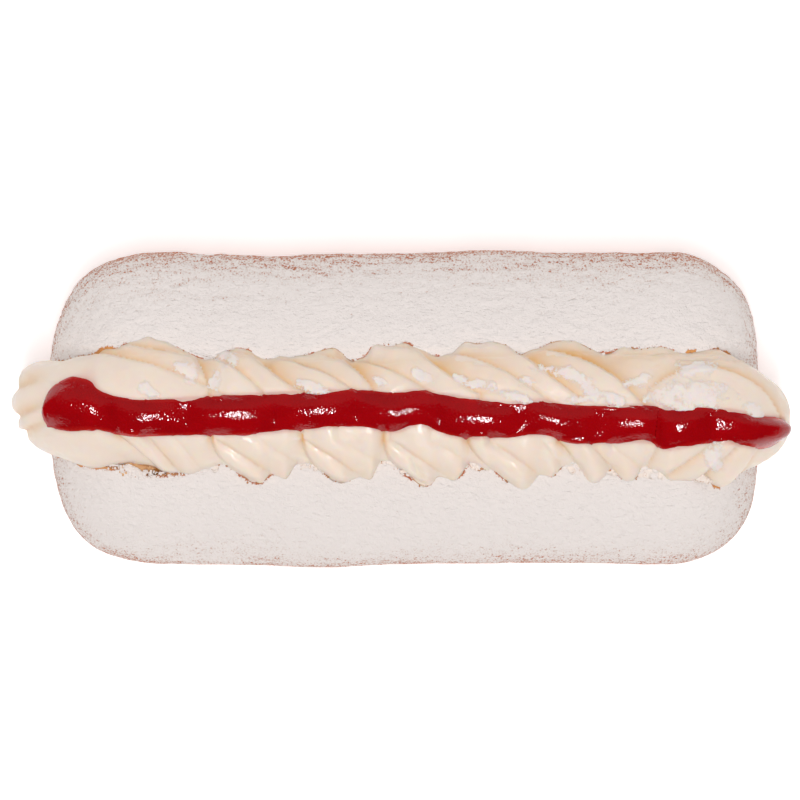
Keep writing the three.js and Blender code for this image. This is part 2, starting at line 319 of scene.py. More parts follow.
def roll_outline():
    """The outline from above, walked once round at even steps: right end, far side, left end, near side."""
    half = BUN_LENGTH / 2
    angle = np.linspace(-QUARTER_TURN, QUARTER_TURN, END_SAMPLES)
    blunt = np.sign(np.sin(angle)) * np.sqrt(np.abs(np.sin(angle)))
    right_end = half - RIGHT_END * (1 - np.cos(angle))
    side = np.linspace(half - RIGHT_END, LEFT_END - half, SIDE_SAMPLES)[1:-1]
    left_end = LEFT_END * (1 - np.cos(angle)) - half
    x = np.concatenate([right_end, side, left_end, side[::-1]])
    y = np.concatenate([blunt, np.ones_like(side), -blunt, -np.ones_like(side)])
    y = y * half_width(x, y)
    x = x - LEFT_SWELL * bell(y, SWELL_SPREAD) * (x < 0)
    walked = np.concatenate([[0], np.cumsum(np.hypot(np.diff(x), np.diff(y)))])
    even = np.linspace(0, walked[-1], int(walked[-1] / GRID_STEP), endpoint=False)
    return np.interp(even, walked, x), np.interp(even, walked, y)


def meridian(power):
    """Shares of the outline and heights: flat base, quarter-ellipse up to the waist, full dome above it."""
    lower = np.linspace(0, QUARTER_TURN, LOWER_ROWS)[:, None]
    upper = np.linspace(0, QUARTER_TURN, UPPER_ROWS)[1:, None]
    base = np.linspace(0, BASE_SHARE, BASE_ROWS)[:-1, None]
    dome = np.maximum(np.cos(upper), 0) ** power
    dome[-1] = 0
    share = np.concatenate([base + 0 * power, lerp(BASE_SHARE, 1, np.sin(lower)) + 0 * power, dome])
    flank, top = BUN_WAIST * (1 - np.cos(lower)), lerp(BUN_WAIST, BUN_HEIGHT, np.sin(upper))
    return share, np.concatenate([base * 0, flank, top])


def roll_top(y):
    """Height of the roll's dome at y from its middle line, between its ends."""
    share = np.minimum(1, np.abs(y) / (BUN_WIDTH / 2))
    return lerp(BUN_WAIST, BUN_HEIGHT, np.sqrt(1 - share ** (2 / DOME_POWER)))


# %% The relief of the sugar
SWELLING_SIZES, SWELLING_HEIGHTS = (19, 8), (0.45, 0.22)
WRINKLE_SIZE, NEAR_WRINKLES, FAR_WRINKLES = (6.5, 3.2, 3.2), 0.03, 0.19
GRAIN_SIZE, GRAIN_HEIGHT = (2.6, 1.7, 1.7), 0.1
# From which y to which the far wrinkles set in, and from which height to which the relief as a whole does.
FAR_HALF, STANDING = (-10, 12), (0.5, 5)


def sugar_relief(points):
    """Height of swellings, wrinkles and grains: noise of three kinds, with more wrinkles on the far half."""
    big, small = (SWELLING_HEIGHTS[k] * noise(points, SWELLING_SIZES[k], k + 1) for k in (0, 1))
    wrinkles = 1 - np.abs(rough(points, WRINKLE_SIZE, 2, 3)) * 2
    wrinkle_height = lerp(NEAR_WRINKLES, FAR_WRINKLES, smoothstep(*FAR_HALF, points[..., 1]))
    return big + small + wrinkle_height * wrinkles + GRAIN_HEIGHT * noise(points, GRAIN_SIZE, 6)


outline_x, outline_y = roll_outline()
spine_end = (BUN_LENGTH - BUN_WIDTH) / 2
towards_end = smoothstep(spine_end, BUN_LENGTH / 2, np.abs(outline_x))
share, level = meridian(lerp(DOME_POWER, END_POWER, towards_end))
spine_x = np.clip(outline_x, -spine_end, spine_end)
roll_x = spine_x * np.minimum(1, share / SPINE_SHARE) + (outline_x - spine_x) * share
roll = np.stack([roll_x, outline_y * share, level + 0 * roll_x], axis=-1)
standing = smoothstep(*STANDING, roll[..., 2])[..., None]
roll = roll + grid_normals(roll) * standing * sugar_relief(roll)[..., None]
bun = make_piece("bun_bread", roll, closed_grid_faces(*roll.shape[:2]))
print("roll of", len(bun.data.polygons), "faces")

# %% [markdown]
# ## The split
# A knife opens the roll and the cream presses its lips apart, so the lips follow the coils and are torn a
# little. The knife here is the rope's formula with noise on it, cut out of the roll by a Boolean. Its faces
# keep their own material, so the walls of the split come out as crumb and the outside as crust.

# %% Cut the split
LIP_TEAR, TEAR_SIZE = 0.25, 2.6
SPLIT_ROWS, SPLIT_COLUMNS = 300, 132


def split_surface():
    """The rope's plain section, with torn edges of noise where the lips are."""
    s, open_share = (values[:, None] for values in rope_stations(SPLIT_ROWS))
    angle = np.linspace(0, 2 * np.pi, SPLIT_COLUMNS, endpoint=False)
    smooth_radius = plain_radius(s, angle)
    place = on_rope(s, smooth_radius * np.cos(angle), smooth_radius * np.sin(angle))
    torn = LIP_TEAR * rough(place, TEAR_SIZE, 3, 11)
    radius = (smooth_radius + piping_share(s, angle) * torn) * open_share
    return on_rope(s, radius * np.cos(angle), radius * np.sin(angle))


def cut(piece, knife):
    """Takes the knife's solid out of the piece, for good, and removes the knife."""
    split = piece.modifiers.new("split", "BOOLEAN")
    split.operation, split.object, split.solver = "DIFFERENCE", knife, "MANIFOLD"
    split.material_mode = "TRANSFER"
    done = piece.evaluated_get(bpy.context.evaluated_depsgraph_get())
    mesh = bpy.data.meshes.new_from_object(done)
    piece.modifiers.clear()
    piece.data = mesh
    bpy.data.objects.remove(knife)


def new_material(piece, name):
    """An empty material of this name, put on a piece."""
    material = bpy.data.materials.new(name)
    piece.data.materials.append(material)
    return material


split_points = split_surface()
knife = make_piece("knife", split_points, closed_grid_faces(*split_points.shape[:2]))
crust_material = new_material(bun, "sugar_dusted_crust")
crumb_material = new_material(knife, "bread_crumb")
cut(bun, knife)
print("after the cut", len(bun.data.polygons), "faces,", [m.name for m in bun.data.materials])

# %% [markdown]
# ## Where the sugar lies
# Sugar is sieved from above, so it covers what faces up and thins out towards the sides, where the browned
# crust shows between the grains. The far side of this bun got less of it, and along the lips it broke off.
# That amount becomes an attribute of the mesh once the cream is there, and the material breaks it up into
# grains.

# %% Where the lips are
LIP_BARE, END_BARE = 0.5, 0.9
LEFT_END_FROM, LEFT_END_FULL = -63, -67
LIP_ABOVE_WAIST = 4
BATCHES, SHARP_LIP, LIP_EVERY = 80, 65, 2


def lip_points(mesh):
    """Points of the bread that belong both to its crust and to the wall of the split, near the top."""
    corners = np.empty(len(mesh.loops), np.int32)
    mesh.loops.foreach_get("vertex_index", corners)
    sizes = np.empty(len(mesh.polygons), np.int32)
    mesh.polygons.foreach_get("loop_total", sizes)
    kind = np.empty(len(mesh.polygons), np.int32)
    mesh.polygons.foreach_get("material_index", kind)
    kinds = np.repeat(kind, sizes)
    both = np.intersect1d(corners[kinds == 0], corners[kinds == 1])
    points = read_points(mesh)[both]
    return points[points[:, 2] > BUN_WAIST + LIP_ABOVE_WAIST]


def distance_to(targets, points):
    """How far each point is from the nearest target, in mm, worked out in batches to save memory."""
    batches = np.array_split(points, BATCHES)
    return np.concatenate([np.sqrt(((batch[:, None] - targets) ** 2).sum(-1).min(1)) for batch in batches])


bun_points = read_points(bun.data)
bun_normals = read_points(bun.data, "normal")
lips = lip_points(bun.data)
high = bun_points[:, 2] > BUN_WAIST
beside_lip = np.zeros(len(bun_points))
at_left_end = smoothstep(LEFT_END_FROM, LEFT_END_FULL, bun_points[:, 0])
bare_run = lerp(LIP_BARE, END_BARE, at_left_end)
beside_lip[high] = bell(distance_to(lips[::LIP_EVERY], bun_points[high]), bare_run[high])
print(len(lips), "points on the lips")

# %% Sugar on the crust
DRIFT_SIZE, DRIFT_HEIGHT, DRIFT_TILT = (16, 9, 9), 3, 0.1
NEAR_LEAN, UP_BIAS, END_EXTRA = 0.1, 0.1, 0.12
LEAST_SUGAR, SUGAR_POWER = 0.44, 1.6
FOOT_SUGAR, FOOT_FROM, FOOT_FULL = 0.6, 4, 18
TORN_SIZE, TORN_BLEND, TORN_AWAY, LEFT_TORN_AWAY = 3, (-0.15, 0.2), 0.95, 0.9
drift = rough(bun_points, DRIFT_SIZE, 3, 21)
facing_up = bun_normals[:, 2] - NEAR_LEAN * bun_normals[:, 1] + UP_BIAS + DRIFT_TILT * drift
facing_up = np.clip(np.clip(facing_up, 0, 1) + END_EXTRA * np.abs(bun_normals[:, 0]), 0, 1)
off_foot = smoothstep(FOOT_FROM, FOOT_FULL, bun_points[:, 2] + DRIFT_HEIGHT * drift)
sieved = lerp(LEAST_SUGAR, 1, facing_up**SUGAR_POWER) * lerp(FOOT_SUGAR, 1, off_foot)
torn_off = TORN_AWAY * smoothstep(*TORN_BLEND, noise(bun_points, TORN_SIZE, 22))
sugar = sieved * (1 - lerp(torn_off, LEFT_TORN_AWAY, at_left_end) * beside_lip)
tan_crust = beside_lip * at_left_end
bun.data.set_sharp_from_angle(angle=np.radians(SHARP_LIP))
print("sugar covers", round(100 * float(np.mean(sugar > 0.5))), "% of the bread's points")

# %% [markdown]
# ## The cream
# The rope again, now with its strands. On the far side every coil shows two, a broad one that laps over the
# one behind it and one that stands up to the lip; on the near side it shows three petals. Their edges are
# curves from the jam to the lip. Attributes carry painted shade: warm shade beside each step and in the
# creases, and a painted brown shadow where the cream runs under the lips; others say how close the jam is
# and how much sugar fell on it.

# %% The jam's course, which the cream needs for its stain
# Each row is x along the roll, y across it and half the jam's width.
COURSE_SAMPLES = 600
JAM_COURSE = np.array(
    [
        [-74.1, -2.3, 2.3], [-73.9, -1, 3.3], [-73.4, 0.1, 4.4], [-72.6, 0.6, 5.3], [-71.4, 1, 6],
        [-70.1, 1, 5.8], [-69.2, 0.4, 5.2], [-68.2, -0.1, 4.6], [-66.5, -0.7, 4.3], [-63, -1.5, 4.1],
        [-56, -1.9, 4], [-35, -1.2, 4.5], [-13, 0.1, 4.1], [-3, -0.8, 4.4], [3, 0.2, 4], [11, -1.7, 4.6],
        [22, -2.5, 3.9], [30, -1.9, 3.9], [38, -3.5, 4.2], [53, -3.3, 4.2], [58, -4.5, 4.6], [68, -3.6, 3.9],
        [72.6, -5.1, 3.7], [75.8, -4.9, 3], [77.7, -4.7, 1.2],
    ]
)


def along_course(course, share):
    """A smooth curve through the rows of a course: cubics, sloped at each row as its neighbours lie."""
    padded = np.vstack([2 * course[0] - course[1], course, 2 * course[-1] - course[-2]])
    place = np.clip(share, 0, 1) * (len(course) - 1)
    first = np.minimum(place.astype(int), len(course) - 2)
    t = (place - first)[:, None]
    before, start, end, after = (padded[first + k] for k in range(4))
    slope_in, slope_out = (end - before) / 2, (after - start) / 2
    bend = (2 * start - 2 * end + slope_in + slope_out) * t**3
    return bend + (3 * end - 3 * start - 2 * slope_in - slope_out) * t**2 + slope_in * t + start


jam_course = along_course(JAM_COURSE, np.linspace(0, 1, COURSE_SAMPLES))


def jam_middle_and_half(x):
    """Where the middle of the jam runs at each x, and half its width there."""
    return (np.interp(x, jam_course[:, 0], jam_course[:, column]) for column in (1, 2))


# %% The strands of the cream
# For each kind of edge: its step down, the painted warm shade beside it and how far that runs, and the bulge
# of the strand on its right.
EDGE_KINDS = {
    "none": (0.0, 0.0, 1.0, 0.5),
    "lap": (1.1, 0.6, 1.1, 0.7),
    "edge": (1.6, 0.85, 2.8, 1.2),
    "coil": (0.7, 0.35, 0.9, 1.5),
    "petal": (1.0, 0.4, 1.3, 0.8),
    "last": (0.35, 0.15, 0.8, 0.4),
    "fan": (1.1, 0.5, 1.0, 1.2),
}
EDGE_NAMES = list(EDGE_KINDS)
EDGE_STEP, EDGE_SHADE, SHADE_RUN, BULGE_AFTER = np.array(list(EDGE_KINDS.values())).T
COIL = EDGE_NAMES.index("coil")
COIL_DIVE, DIVE_RUN = 0.5, 1.5
CREVICE_WIDTH, CREVICE_REACH, CREVICE_SHADE = 0.9, 0.22, 0.5
# For each edge: its kind, its place at the lip and at the jam; then, where it isn't straight, its bend and,
# for an arc, how far out it starts.
FAR_EDGES = [
    ("lap", -66, -42, 0.62, 0.83), ("edge", -47.6, -43.5, 1.1),
    ("lap", -43, -32, 0.6, 0.8), ("edge", -34.7, -21.5, 0.66),
    ("lap", -27, -10.5, 0.6, 0.77), ("edge", -15.6, -7.2, 1.47),
    ("lap", -9, 6, 0.6, 0.75), ("edge", 3.6, 17, 0.82),
    ("lap", 13, 30.5, 0.65, 0.93), ("edge", 26, 38),
    ("edge", 33, 51, 0.5, 1.08),
]
NEAR_EDGES = [
    ("coil", -55.5, -64), ("petal", -49.8, -58.3), ("last", -43.5, -51.8),
    ("coil", -35.5, -43.2, 2.0), ("petal", -28.6, -43.2), ("last", -19, -33.6),
    ("coil", -16, -23, 2.5), ("petal", -8.6, -23.2), ("last", 2, -15.2, 1.1),
    ("coil", 2.5, -5, 2.4), ("petal", 10.6, -3.6), ("last", 21, 5.3),
    ("coil", 23, 13.5, 1.5), ("petal", 32.4, 18.4), ("last", 38, 29.8),
    ("coil", 41, 33.5, 0.8), ("petal", 49, 40.5), ("last", 56, 45),
    ("fan", 51.5, 56), ("fan", 54, 67.5, 1.2), ("fan", 64, 73.5),
    ("fan", 72.3, 78.2, 1.2),
]
FAR_JAM, FAR_REACH = 4.0, 8.6
NEAR_JAM, NEAR_REACH = -6.0, -9.0
STRAND_WIDTH, OPEN_STRAND = 4.0, 14.0
CREST_ROUND, FOOT_ROUND = 0.6, 1.3
CREST_SHARE, FOOT_SHARE, BULGE_POWER = 0.35, 0.65, 2.2
# By the jam the painted shade is weaker and runs shorter than at the lip, and weaker still on a crest's side.
JAM_SHADE_RUN, JAM_SHADE, CREST_SHADE, CREST_SHADE_RUN = 0.35, 0.6, 0.3, 0.4
ARC_LEAD, LEAN_STEP = 60.0, 0.02
EDGE_RANGE, ARC_RANGE = (0.02, 1.4), (0.02, 1.3)
FAR_OFF = 9


def edge_line(reach, lip, jam, bend=1.0, start=None):
    """Where an edge is at a reach from the jam (0) to the lip (1).

    An edge is jam + (lip - jam) * reach ** bend. An arc sets off level at its start and falls to the jam:
    lip + (jam - lip) * (1 - reach / start) ** bend.
    """
    if start is None:
        return jam + (lip - jam) * np.clip(reach, *EDGE_RANGE) ** bend
    left = np.clip(1 - reach / start, *ARC_RANGE)
    return lip + (jam - lip) * left**bend - ARC_LEAD * np.maximum(reach - start, 0)


def strand_relief(x, across, edges, from_jam, length):
    """Strands that lap over each other: each rises from a foot to a round crest, then steps down to the next.

    Returns the height, and how much warm shade is painted there: beside a step and in the crevices by the jam.
    """
    reach = (across - from_jam) / length
    to_left, to_right = np.full((2, *x.shape), OPEN_STRAND)
    left, right = np.zeros((2, *x.shape), int)
    for name, *curve in edges:
        kind = EDGE_NAMES.index(name)
        rise = edge_line(reach + LEAN_STEP, *curve) - edge_line(reach - LEAN_STEP, *curve)
        lean = rise / (2 * LEAN_STEP * length)
        gap = (x - edge_line(reach, *curve)) / np.sqrt(1 + lean**2)
        left_of_it = (gap < 0) & (-gap < to_right)
        right_of_it = (gap >= 0) & (gap < to_left)
        right[left_of_it] = kind
        left[right_of_it] = kind
        to_right = np.where(left_of_it, -gap, to_right)
        to_left = np.where(right_of_it, gap, to_left)
    share = to_left / (to_left + to_right)
    wide = np.minimum(1, (to_left + to_right) / STRAND_WIDTH)
    tube = BULGE_AFTER[left] * wide * (1 - np.abs(2 * share - 1) ** BULGE_POWER)
    slope = lerp(-FOOT_SHARE * EDGE_STEP[left], CREST_SHARE * EDGE_STEP[right], share)
    crest = CREST_SHARE * EDGE_STEP[right] * bell(to_right, CREST_ROUND)
    foot = FOOT_SHARE * EDGE_STEP[left] * bell(to_left, FOOT_ROUND)
    dive = COIL_DIVE * (right == COIL) * bell(to_right, DIVE_RUN)
    # Painted warm shade: an ochre tint on the low side of each step and in the crevices by the jam, where
    # shade falls.
    by_lip = np.clip(reach, 0, 1)
    run = SHADE_RUN[left] * lerp(JAM_SHADE_RUN, 1, by_lip)
    warm_shade = EDGE_SHADE[left] * lerp(JAM_SHADE, 1, by_lip) * np.exp(-to_left / run)
    warm_shade = warm_shade + CREST_SHADE * EDGE_SHADE[right] * np.exp(-to_right / CREST_SHADE_RUN)
    to_coil = np.minimum(np.where(left == COIL, to_left, FAR_OFF), np.where(right == COIL, to_right, FAR_OFF))
    crevice = bell(to_coil, CREVICE_WIDTH) * bell(reach, CREVICE_REACH)
    return wide * (slope - crest + foot) + tube - dive, warm_shade + CREVICE_SHADE * crevice


# %% The tips of the rope
NOSE_BOUNDS = np.array([11.5, 4.9, -1.0, -4.8, -11.5])
NOSE_SHIFTS = np.array([0.0, 1.0, 0.3, -0.5])
NOSE_SKEW, NOSE_SKEW_AT = 0.37, -83.5
NOSE_FROM, NOSE_FULL, NOSE_SHADE = -78.0, -84.5, 0.4
RING_MIDDLE, RING_RADII = (66.2, -6.9), (17.6, 15.5)
RING_FROM, RING_FULL = 51.0, 57.0
RING_STEP, RING_BLEND = 1.2, 5
# On each side of the ring's edge: the height that it steps up or down, and how far that runs.
RING_INSIDE, RING_OUTSIDE = (0.5, 2.5), (0.6, 2.0)
RING_ROUND, RING_SHADE, SHADE_OUTSIDE, SHADE_INSIDE = 0.5, 0.55, 1.2, 0.4


def nose_relief(x, across):
    """Lobes at the left tip, side by side: each a bulge between two creases, some standing out further, with
    painted shade in the creases.
    """
    skewed = across - NOSE_SKEW * (x - NOSE_SKEW_AT)
    place = np.interp(-skewed, -NOSE_BOUNDS, np.arange(len(NOSE_BOUNDS)))
    lobe = np.minimum(place.astype(int), len(NOSE_SHIFTS) - 1)
    valley = np.cos(np.pi * (place - lobe)) ** 4
    inner = (place > 0.5) & (place < len(NOSE_SHIFTS) - 0.5)
    shift = np.interp(place, np.arange(len(NOSE_SHIFTS)) + 0.5, NOSE_SHIFTS)
    shown = smoothstep(NOSE_FROM, NOSE_FULL, x)
    # The creases between the lobes get painted shade.
    return shown * (shift + NOSE_LOBE * (0.5 - valley * inner)), NOSE_SHADE * shown * valley * inner


def ring_relief(x, y):
    """At the right tip the last strand curls round the end: a step down outwards, on an ellipse, with painted
    shade beside it.
    """
    out = np.hypot((x - RING_MIDDLE[0]) / RING_RADII[0], (y - RING_MIDDLE[1]) / RING_RADII[1])
    past = (out - 1) * RING_RADII[1]
    shown = smoothstep(RING_FROM, RING_FULL, x) * smoothstep(RING_MIDDLE[1], RING_MIDDLE[1] + RING_BLEND, y)
    (up, run_in), (down, run_out) = RING_INSIDE, RING_OUTSIDE
    inside = up * np.exp(np.minimum(past, 0) / run_in) - RING_ROUND * bell(past, CREST_ROUND)
    outside = RING_ROUND * bell(past, FOOT_ROUND) - down * np.exp(-np.maximum(past, 0) / run_out)
    # Painted shade beside the ring's edge, mostly on its low outer side.
    crease_shade = np.where(past > 0, np.exp(-past / SHADE_OUTSIDE), CREST_SHADE * np.exp(past / SHADE_INSIDE))
    return RING_STEP * shown * np.where(past > 0, outside, inside), RING_SHADE * shown * crease_shade


# %% The cream's surface
# Sugar on the cream: x and y of each patch, half its length and width, and its turn in degrees.
SUGAR_DRIFTS = np.array(
    [
        [-47.8, 7.7, 3.2, 1.7, -28], [-42.7, 6.4, 1.4, 2.3, 0], [-57.1, 4.1, 3, 1.2, -20],
        [-38.7, 10.6, 3.3, 1.7, -20], [-20.6, 4.8, 4.4, 1.3, -15], [-5.8, 6.1, 1.9, 0.9, -25],
        [3.9, 7, 2.5, 1, -25], [15.2, 5.5, 4.4, 1.3, -15], [24.1, 2.6, 3.5, 1.1, -20],
        [26.5, 6.4, 1.6, 1.2, 0], [34, 7.9, 4.5, 1.4, -5], [40.6, 4.6, 4.5, 1.6, -40],
        [45.1, 2.4, 3, 1.2, -30], [37.1, 1.9, 2.3, 0.8, 0], [64.3, 9, 4.6, 1.8, 10],
        [51.3, 6.1, 3.5, 1.1, 15], [62.8, 3, 8.8, 3, 0], [76.9, -0.5, 2.4, 1.6, -35],
        [68.5, -11.3, 1.8, 3.2, 0],
    ]
)
RAGGED_SIZE, RAGGED_SHARE, NO_SUGAR = 2.4, 0.55, -9.0
SUGAR_ON_CREAM, SUGAR_CLOT, SUGAR_UNEVEN = 0.3, 1.3, 0.5
LIP_OVERLAP, LIP_UNEVEN, LIP_WOBBLE, LIP_HOLD = 0.3, 0.4, 3.2, 0.4
LIP_RELIEF, LIP_FREE = 0.3, 3.5
LIP_SHADOW_HEIGHT = 0.2
CREAM_ROWS, CREAM_UPPER, CREAM_LOWER = 410, 160, 32
UPPER_REACH = 0.25 * np.pi
STRAND_WANDER, WANDER_SIZE = 0.3, 9
UNEVEN_SIZES, UNEVEN_HEIGHTS = (6, 1.8), (0.2, 0.06)
SHADOW_BREAK_SIZE, SHADOW_BREAK_BLEND = 2.6, (-0.1, 0.3)
# Where the painted brown shadow under the lip runs unbroken along the cream's rim: its place, its run and its
# side, 1 for the far one.
FULL_LIP_SHADOWS = np.array([[67, 6, 1], [-69, 4, 1], [-68, 5, -1]])
GAP_PLACE, GAP_SPREAD, GAP_WIDTH = -60.0, 6.5, 3.4
# The strands fade out under the jam, from the first share of its half width to the second.
UNDER_JAM = 0.1, 0.8
STAIN_RUN, JAM_END_BLEND = 0.3, 1
# From which rise of the section to which these set in; the last is how sugar thickens from a patch's edge.
LIP_BLEND, SUGAR_BLEND, STAIN_BLEND, SUGAR_EDGE = (0.05, 0.3), (0.1, 0.4), (0.2, 0.6), (-0.1, 0.35)
HALO_PLACE, HALO_SPREAD, HALO_RUN = -69.3, 1.2, 1.3


def sugar_drift(points):
    """How much sugar fell on a point, from above: ragged ellipses, 1 in the middle and 0 at the rim."""
    ragged = RAGGED_SHARE * rough(points, RAGGED_SIZE, 3, 31)
    amount = np.full(points.shape[:-1], NO_SUGAR)
    for x, y, length, width, tilt in SUGAR_DRIFTS:
        turn = np.radians(tilt)
        dx, dy = points[..., 0] - x, points[..., 1] - y
        u = (dx * np.cos(turn) + dy * np.sin(turn)) / length
        v = (dy * np.cos(turn) - dx * np.sin(turn)) / width
        amount = np.maximum(amount, 1 - np.hypot(u, v) + ragged)
    return amount


def piping(s, angle):
    """Height of the strands above the plain rope, the painted shade of its creases at each point, and the
    plain rope.
    """
    smooth_radius = plain_radius(s, angle)
    plain = on_rope(s, smooth_radius * np.cos(angle), smooth_radius * np.sin(angle))
    x, across = plain[..., 0], plain[..., 1] - axis_y(plain[..., 0])
    wander = x + STRAND_WANDER * noise(plain, WANDER_SIZE, 41)
    far, far_shade = strand_relief(wander, across, FAR_EDGES, FAR_JAM, FAR_REACH)
    near, near_shade = strand_relief(wander, across, NEAR_EDGES, NEAR_JAM, NEAR_REACH)
    jam_middle, jam_half = jam_middle_and_half(x)
    from_jam = (plain[..., 1] - jam_middle) / jam_half
    far_shown, near_shown = smoothstep(*UNDER_JAM, from_jam), smoothstep(*UNDER_JAM, -from_jam)
    nose, nose_shade = nose_relief(x, across)
    ring, ring_shade = ring_relief(x, plain[..., 1])
    # Painted shade from the strands, the lobes and the ring, carried as an attribute.
    crease_shade = far_shown * far_shade + near_shown * near_shade + nose_shade + ring_shade
    return far_shown * far + near_shown * near + nose + ring, crease_shade, plain


def jam_stain(s, y, side):
    """How much jam has soaked into the cream: 1 under it, fading out beside it, with a halo at its head."""
    middle, half = jam_middle_and_half(s)
    first, last = jam_course[0, 0], jam_course[-1, 0]
    after_first = smoothstep(first - JAM_END_BLEND, first + JAM_END_BLEND, s)
    beside_jam = after_first * smoothstep(last + JAM_END_BLEND, last - JAM_END_BLEND, s)
    outside = np.abs(y - middle) - half * beside_jam
    halo = HALO_RUN * bell(s - HALO_PLACE, HALO_SPREAD) * (side > 0)
    return beside_jam * np.exp(-np.maximum(outside, 0) / (STAIN_RUN + halo))


def cream_surface():
    """The rope with strands, lobes and an uneven lip, plus attributes for painted crease shade, sugar, jam
    stain and the painted shadow under the lips.
    """
    s, open_share = (values[:, None] for values in rope_stations(CREAM_ROWS))
    upper = np.linspace(-UPPER_REACH, np.pi + UPPER_REACH, CREAM_UPPER)
    lower = np.linspace(np.pi + UPPER_REACH, 2 * np.pi - UPPER_REACH, CREAM_LOWER)[1:-1]
    angle = np.concatenate([upper, lower])
    side, rise = np.cos(angle), np.sin(angle)
    in_split = rope_axis(s)[-1]
    smooth_radius = plain_radius(s, angle)
    strands, crease_shade, plain = piping(s, angle)
    free = smoothstep(0, LIP_FREE, smooth_radius * rise - lip_level(s))
    shown = piping_share(s, angle) * lerp(1, lerp(LIP_RELIEF, 1, free), in_split)
    coarse, fine = UNEVEN_HEIGHTS
    uneven = coarse * noise(plain, UNEVEN_SIZES[0], 43) + fine * rough(plain, UNEVEN_SIZES[1], 2, 44)
    gap = bell(plain[..., 0] - GAP_PLACE, GAP_SPREAD) * (side < 0)
    edge = LIP_OVERLAP + LIP_UNEVEN * in_split * noise(plain, LIP_WOBBLE, 46) - GAP_WIDTH * gap
    lip = piping_share(s, angle) * side**2 * lerp(LIP_HOLD * in_split, edge, smoothstep(*LIP_BLEND, rise))
    relief = shown * (strands + uneven) + lip
    unsugared = on_rope(s, (smooth_radius + relief) * side, (smooth_radius + relief) * rise)
    sugar = sugar_drift(unsugared) * smoothstep(*SUGAR_BLEND, rise)
    clots = 1 + SUGAR_UNEVEN * noise(unsugared, SUGAR_CLOT, 45)
    raised = SUGAR_ON_CREAM * smoothstep(*SUGAR_EDGE, sugar) * clots
    radius = (smooth_radius + relief + raised) * open_share
    points = on_rope(s, radius * side, radius * rise)
    stain = jam_stain(s, points[..., 1], side) * smoothstep(*STAIN_BLEND, rise)
    lip_z = lerp(roll_top(points[..., 1]), CREAM_Z + lip_level(s), smoothstep(spine_end, LIP_FALL, np.abs(s)))
    # Painted shadow: brown on the cream just under the lip level, broken by noise, unbroken at given places
    # and in the gap.
    shadow_line = smoothstep(*SHADOW_BREAK_BLEND, noise(plain, SHADOW_BREAK_SIZE, 47))
    for rim_place, rim_run, rim_side in FULL_LIP_SHADOWS:
        shadow_line = np.maximum(shadow_line, bell(s - rim_place, rim_run) * (side * rim_side > 0))
    below_lip = smoothstep(LIP_SHADOW_HEIGHT, -LIP_SHADOW_HEIGHT, points[..., 2] - lip_z)
    lip_shadow = lerp(shadow_line, 1, gap) * below_lip * in_split
    return points, {"crease_shade": np.clip(shown * crease_shade, 0, 1), "sugar": sugar, "stain": stain, "lip_shadow": lip_shadow}


cream_points, cream_layers = cream_surface()
cream = make_piece("piped_cream", cream_points, closed_grid_faces(*cream_points.shape[:2]), cream_layers)
print("cream of", len(cream.data.polygons), "faces")

# %% [markdown]
# ## Crust laid bare
# At both tips the cream dragged the sugar off the crust beside it, in a broken tan line. How far each point
# of the bread is from the cream is known now, so this is where the bread gets its two attributes: how much
# sugar lies on it, and where its crust is tan.

# %% Crust beside the tips of the cream
TIP_START, TIP_EVERY, TIP_BARE = 62.0, 3, (1.0, 0.4)
TIP_BROKEN, BROKEN_BLEND = 3.5, (-0.25, 0.2)
tip_cream = cream_points.reshape(-1, 3)[::TIP_EVERY]
tip_cream = tip_cream[(np.abs(tip_cream[:, 0]) > TIP_START) & (tip_cream[:, 2] > BUN_WAIST)]
at_tip = (np.abs(bun_points[:, 0]) > TIP_START) & (bun_points[:, 2] > BUN_WAIST)
laid_bare = smoothstep(*TIP_BARE, distance_to(tip_cream, bun_points[at_tip]))
laid_bare = laid_bare * smoothstep(*BROKEN_BLEND, noise(bun_points[at_tip], TIP_BROKEN, 24))
sugar[at_tip] *= 1 - laid_bare
tan_crust[at_tip] = np.maximum(tan_crust[at_tip], laid_bare)
set_attribute(bun.data, "sugar", sugar)
set_attribute(bun.data, "lip", tan_crust)
print("crust laid bare at", int(np.sum(laid_bare > 0.5)), "points beside the tips")

# %% [markdown]
# ## The jam
# Jam from a bag leaves a bead that rises and falls with the coils under it and folds where the hand stopped.
# Its section is a low dome carried along the course. The waves along its top are what break its highlight
# up. Where a strand of cream stands higher than the bead, a film of jam goes over it, so the jam's outline
# stays unbroken.

# %% The jam's surface
JAM_FULL, JAM_RISE, JAM_SINK, JAM_END_POWER = 4.0, 1.7, 3.0, 40
JAM_SETTLE, JAM_SPREAD, JAM_FOLLOW = 0.6, 1.07, 0.3
JAM_FLATNESS, JAM_FILM, FILM_BLEND, FILM_POWER = 2.2, 0.25, 0.5, 10
JAM_CRESTS = np.array([-71.5, -58.6, -38.4, -20.1, -2.2, 17.1, 33, 51.5, 60.5, 74])
JAM_WAVE, WAVE_LIFT = 1.5, 0.35
JAM_DRAPE = 6
JAM_ROWS, JAM_COLUMNS = 620, 76
# The fold: its place and its curve, then height and run of the ridge before it and of the drop after it.
JAM_FOLD, FOLD_CURVE = 55.3, 0.6
FOLD_RIDGE, RIDGE_RUN, FOLD_DROP, DROP_RUN = 0.45, 3, 0.4, 2
JAM_UNEVEN_SIZES, JAM_UNEVEN_HEIGHTS = (4, 1.7), (0.12, 0.04)
SHARP_CUSP = 20
TIP_FROM, THIN_TIP, TIP_LIFT = 69.0, 0.2, 2.2


def draped(relief):
    """Relief evened out along the jam, as in a thick liquid: each row a bell-shaped average of rows."""
    rows = np.arange(len(relief))
    steps = np.arange(-3 * JAM_DRAPE, 3 * JAM_DRAPE + 1)
    weights = np.exp(-0.5 * (steps / JAM_DRAPE) ** 2)
    near_rows = [weight * relief[np.clip(rows + step, 0, rows[-1])] for step, weight in zip(steps, weights)]
    return sum(near_rows) / weights.sum()


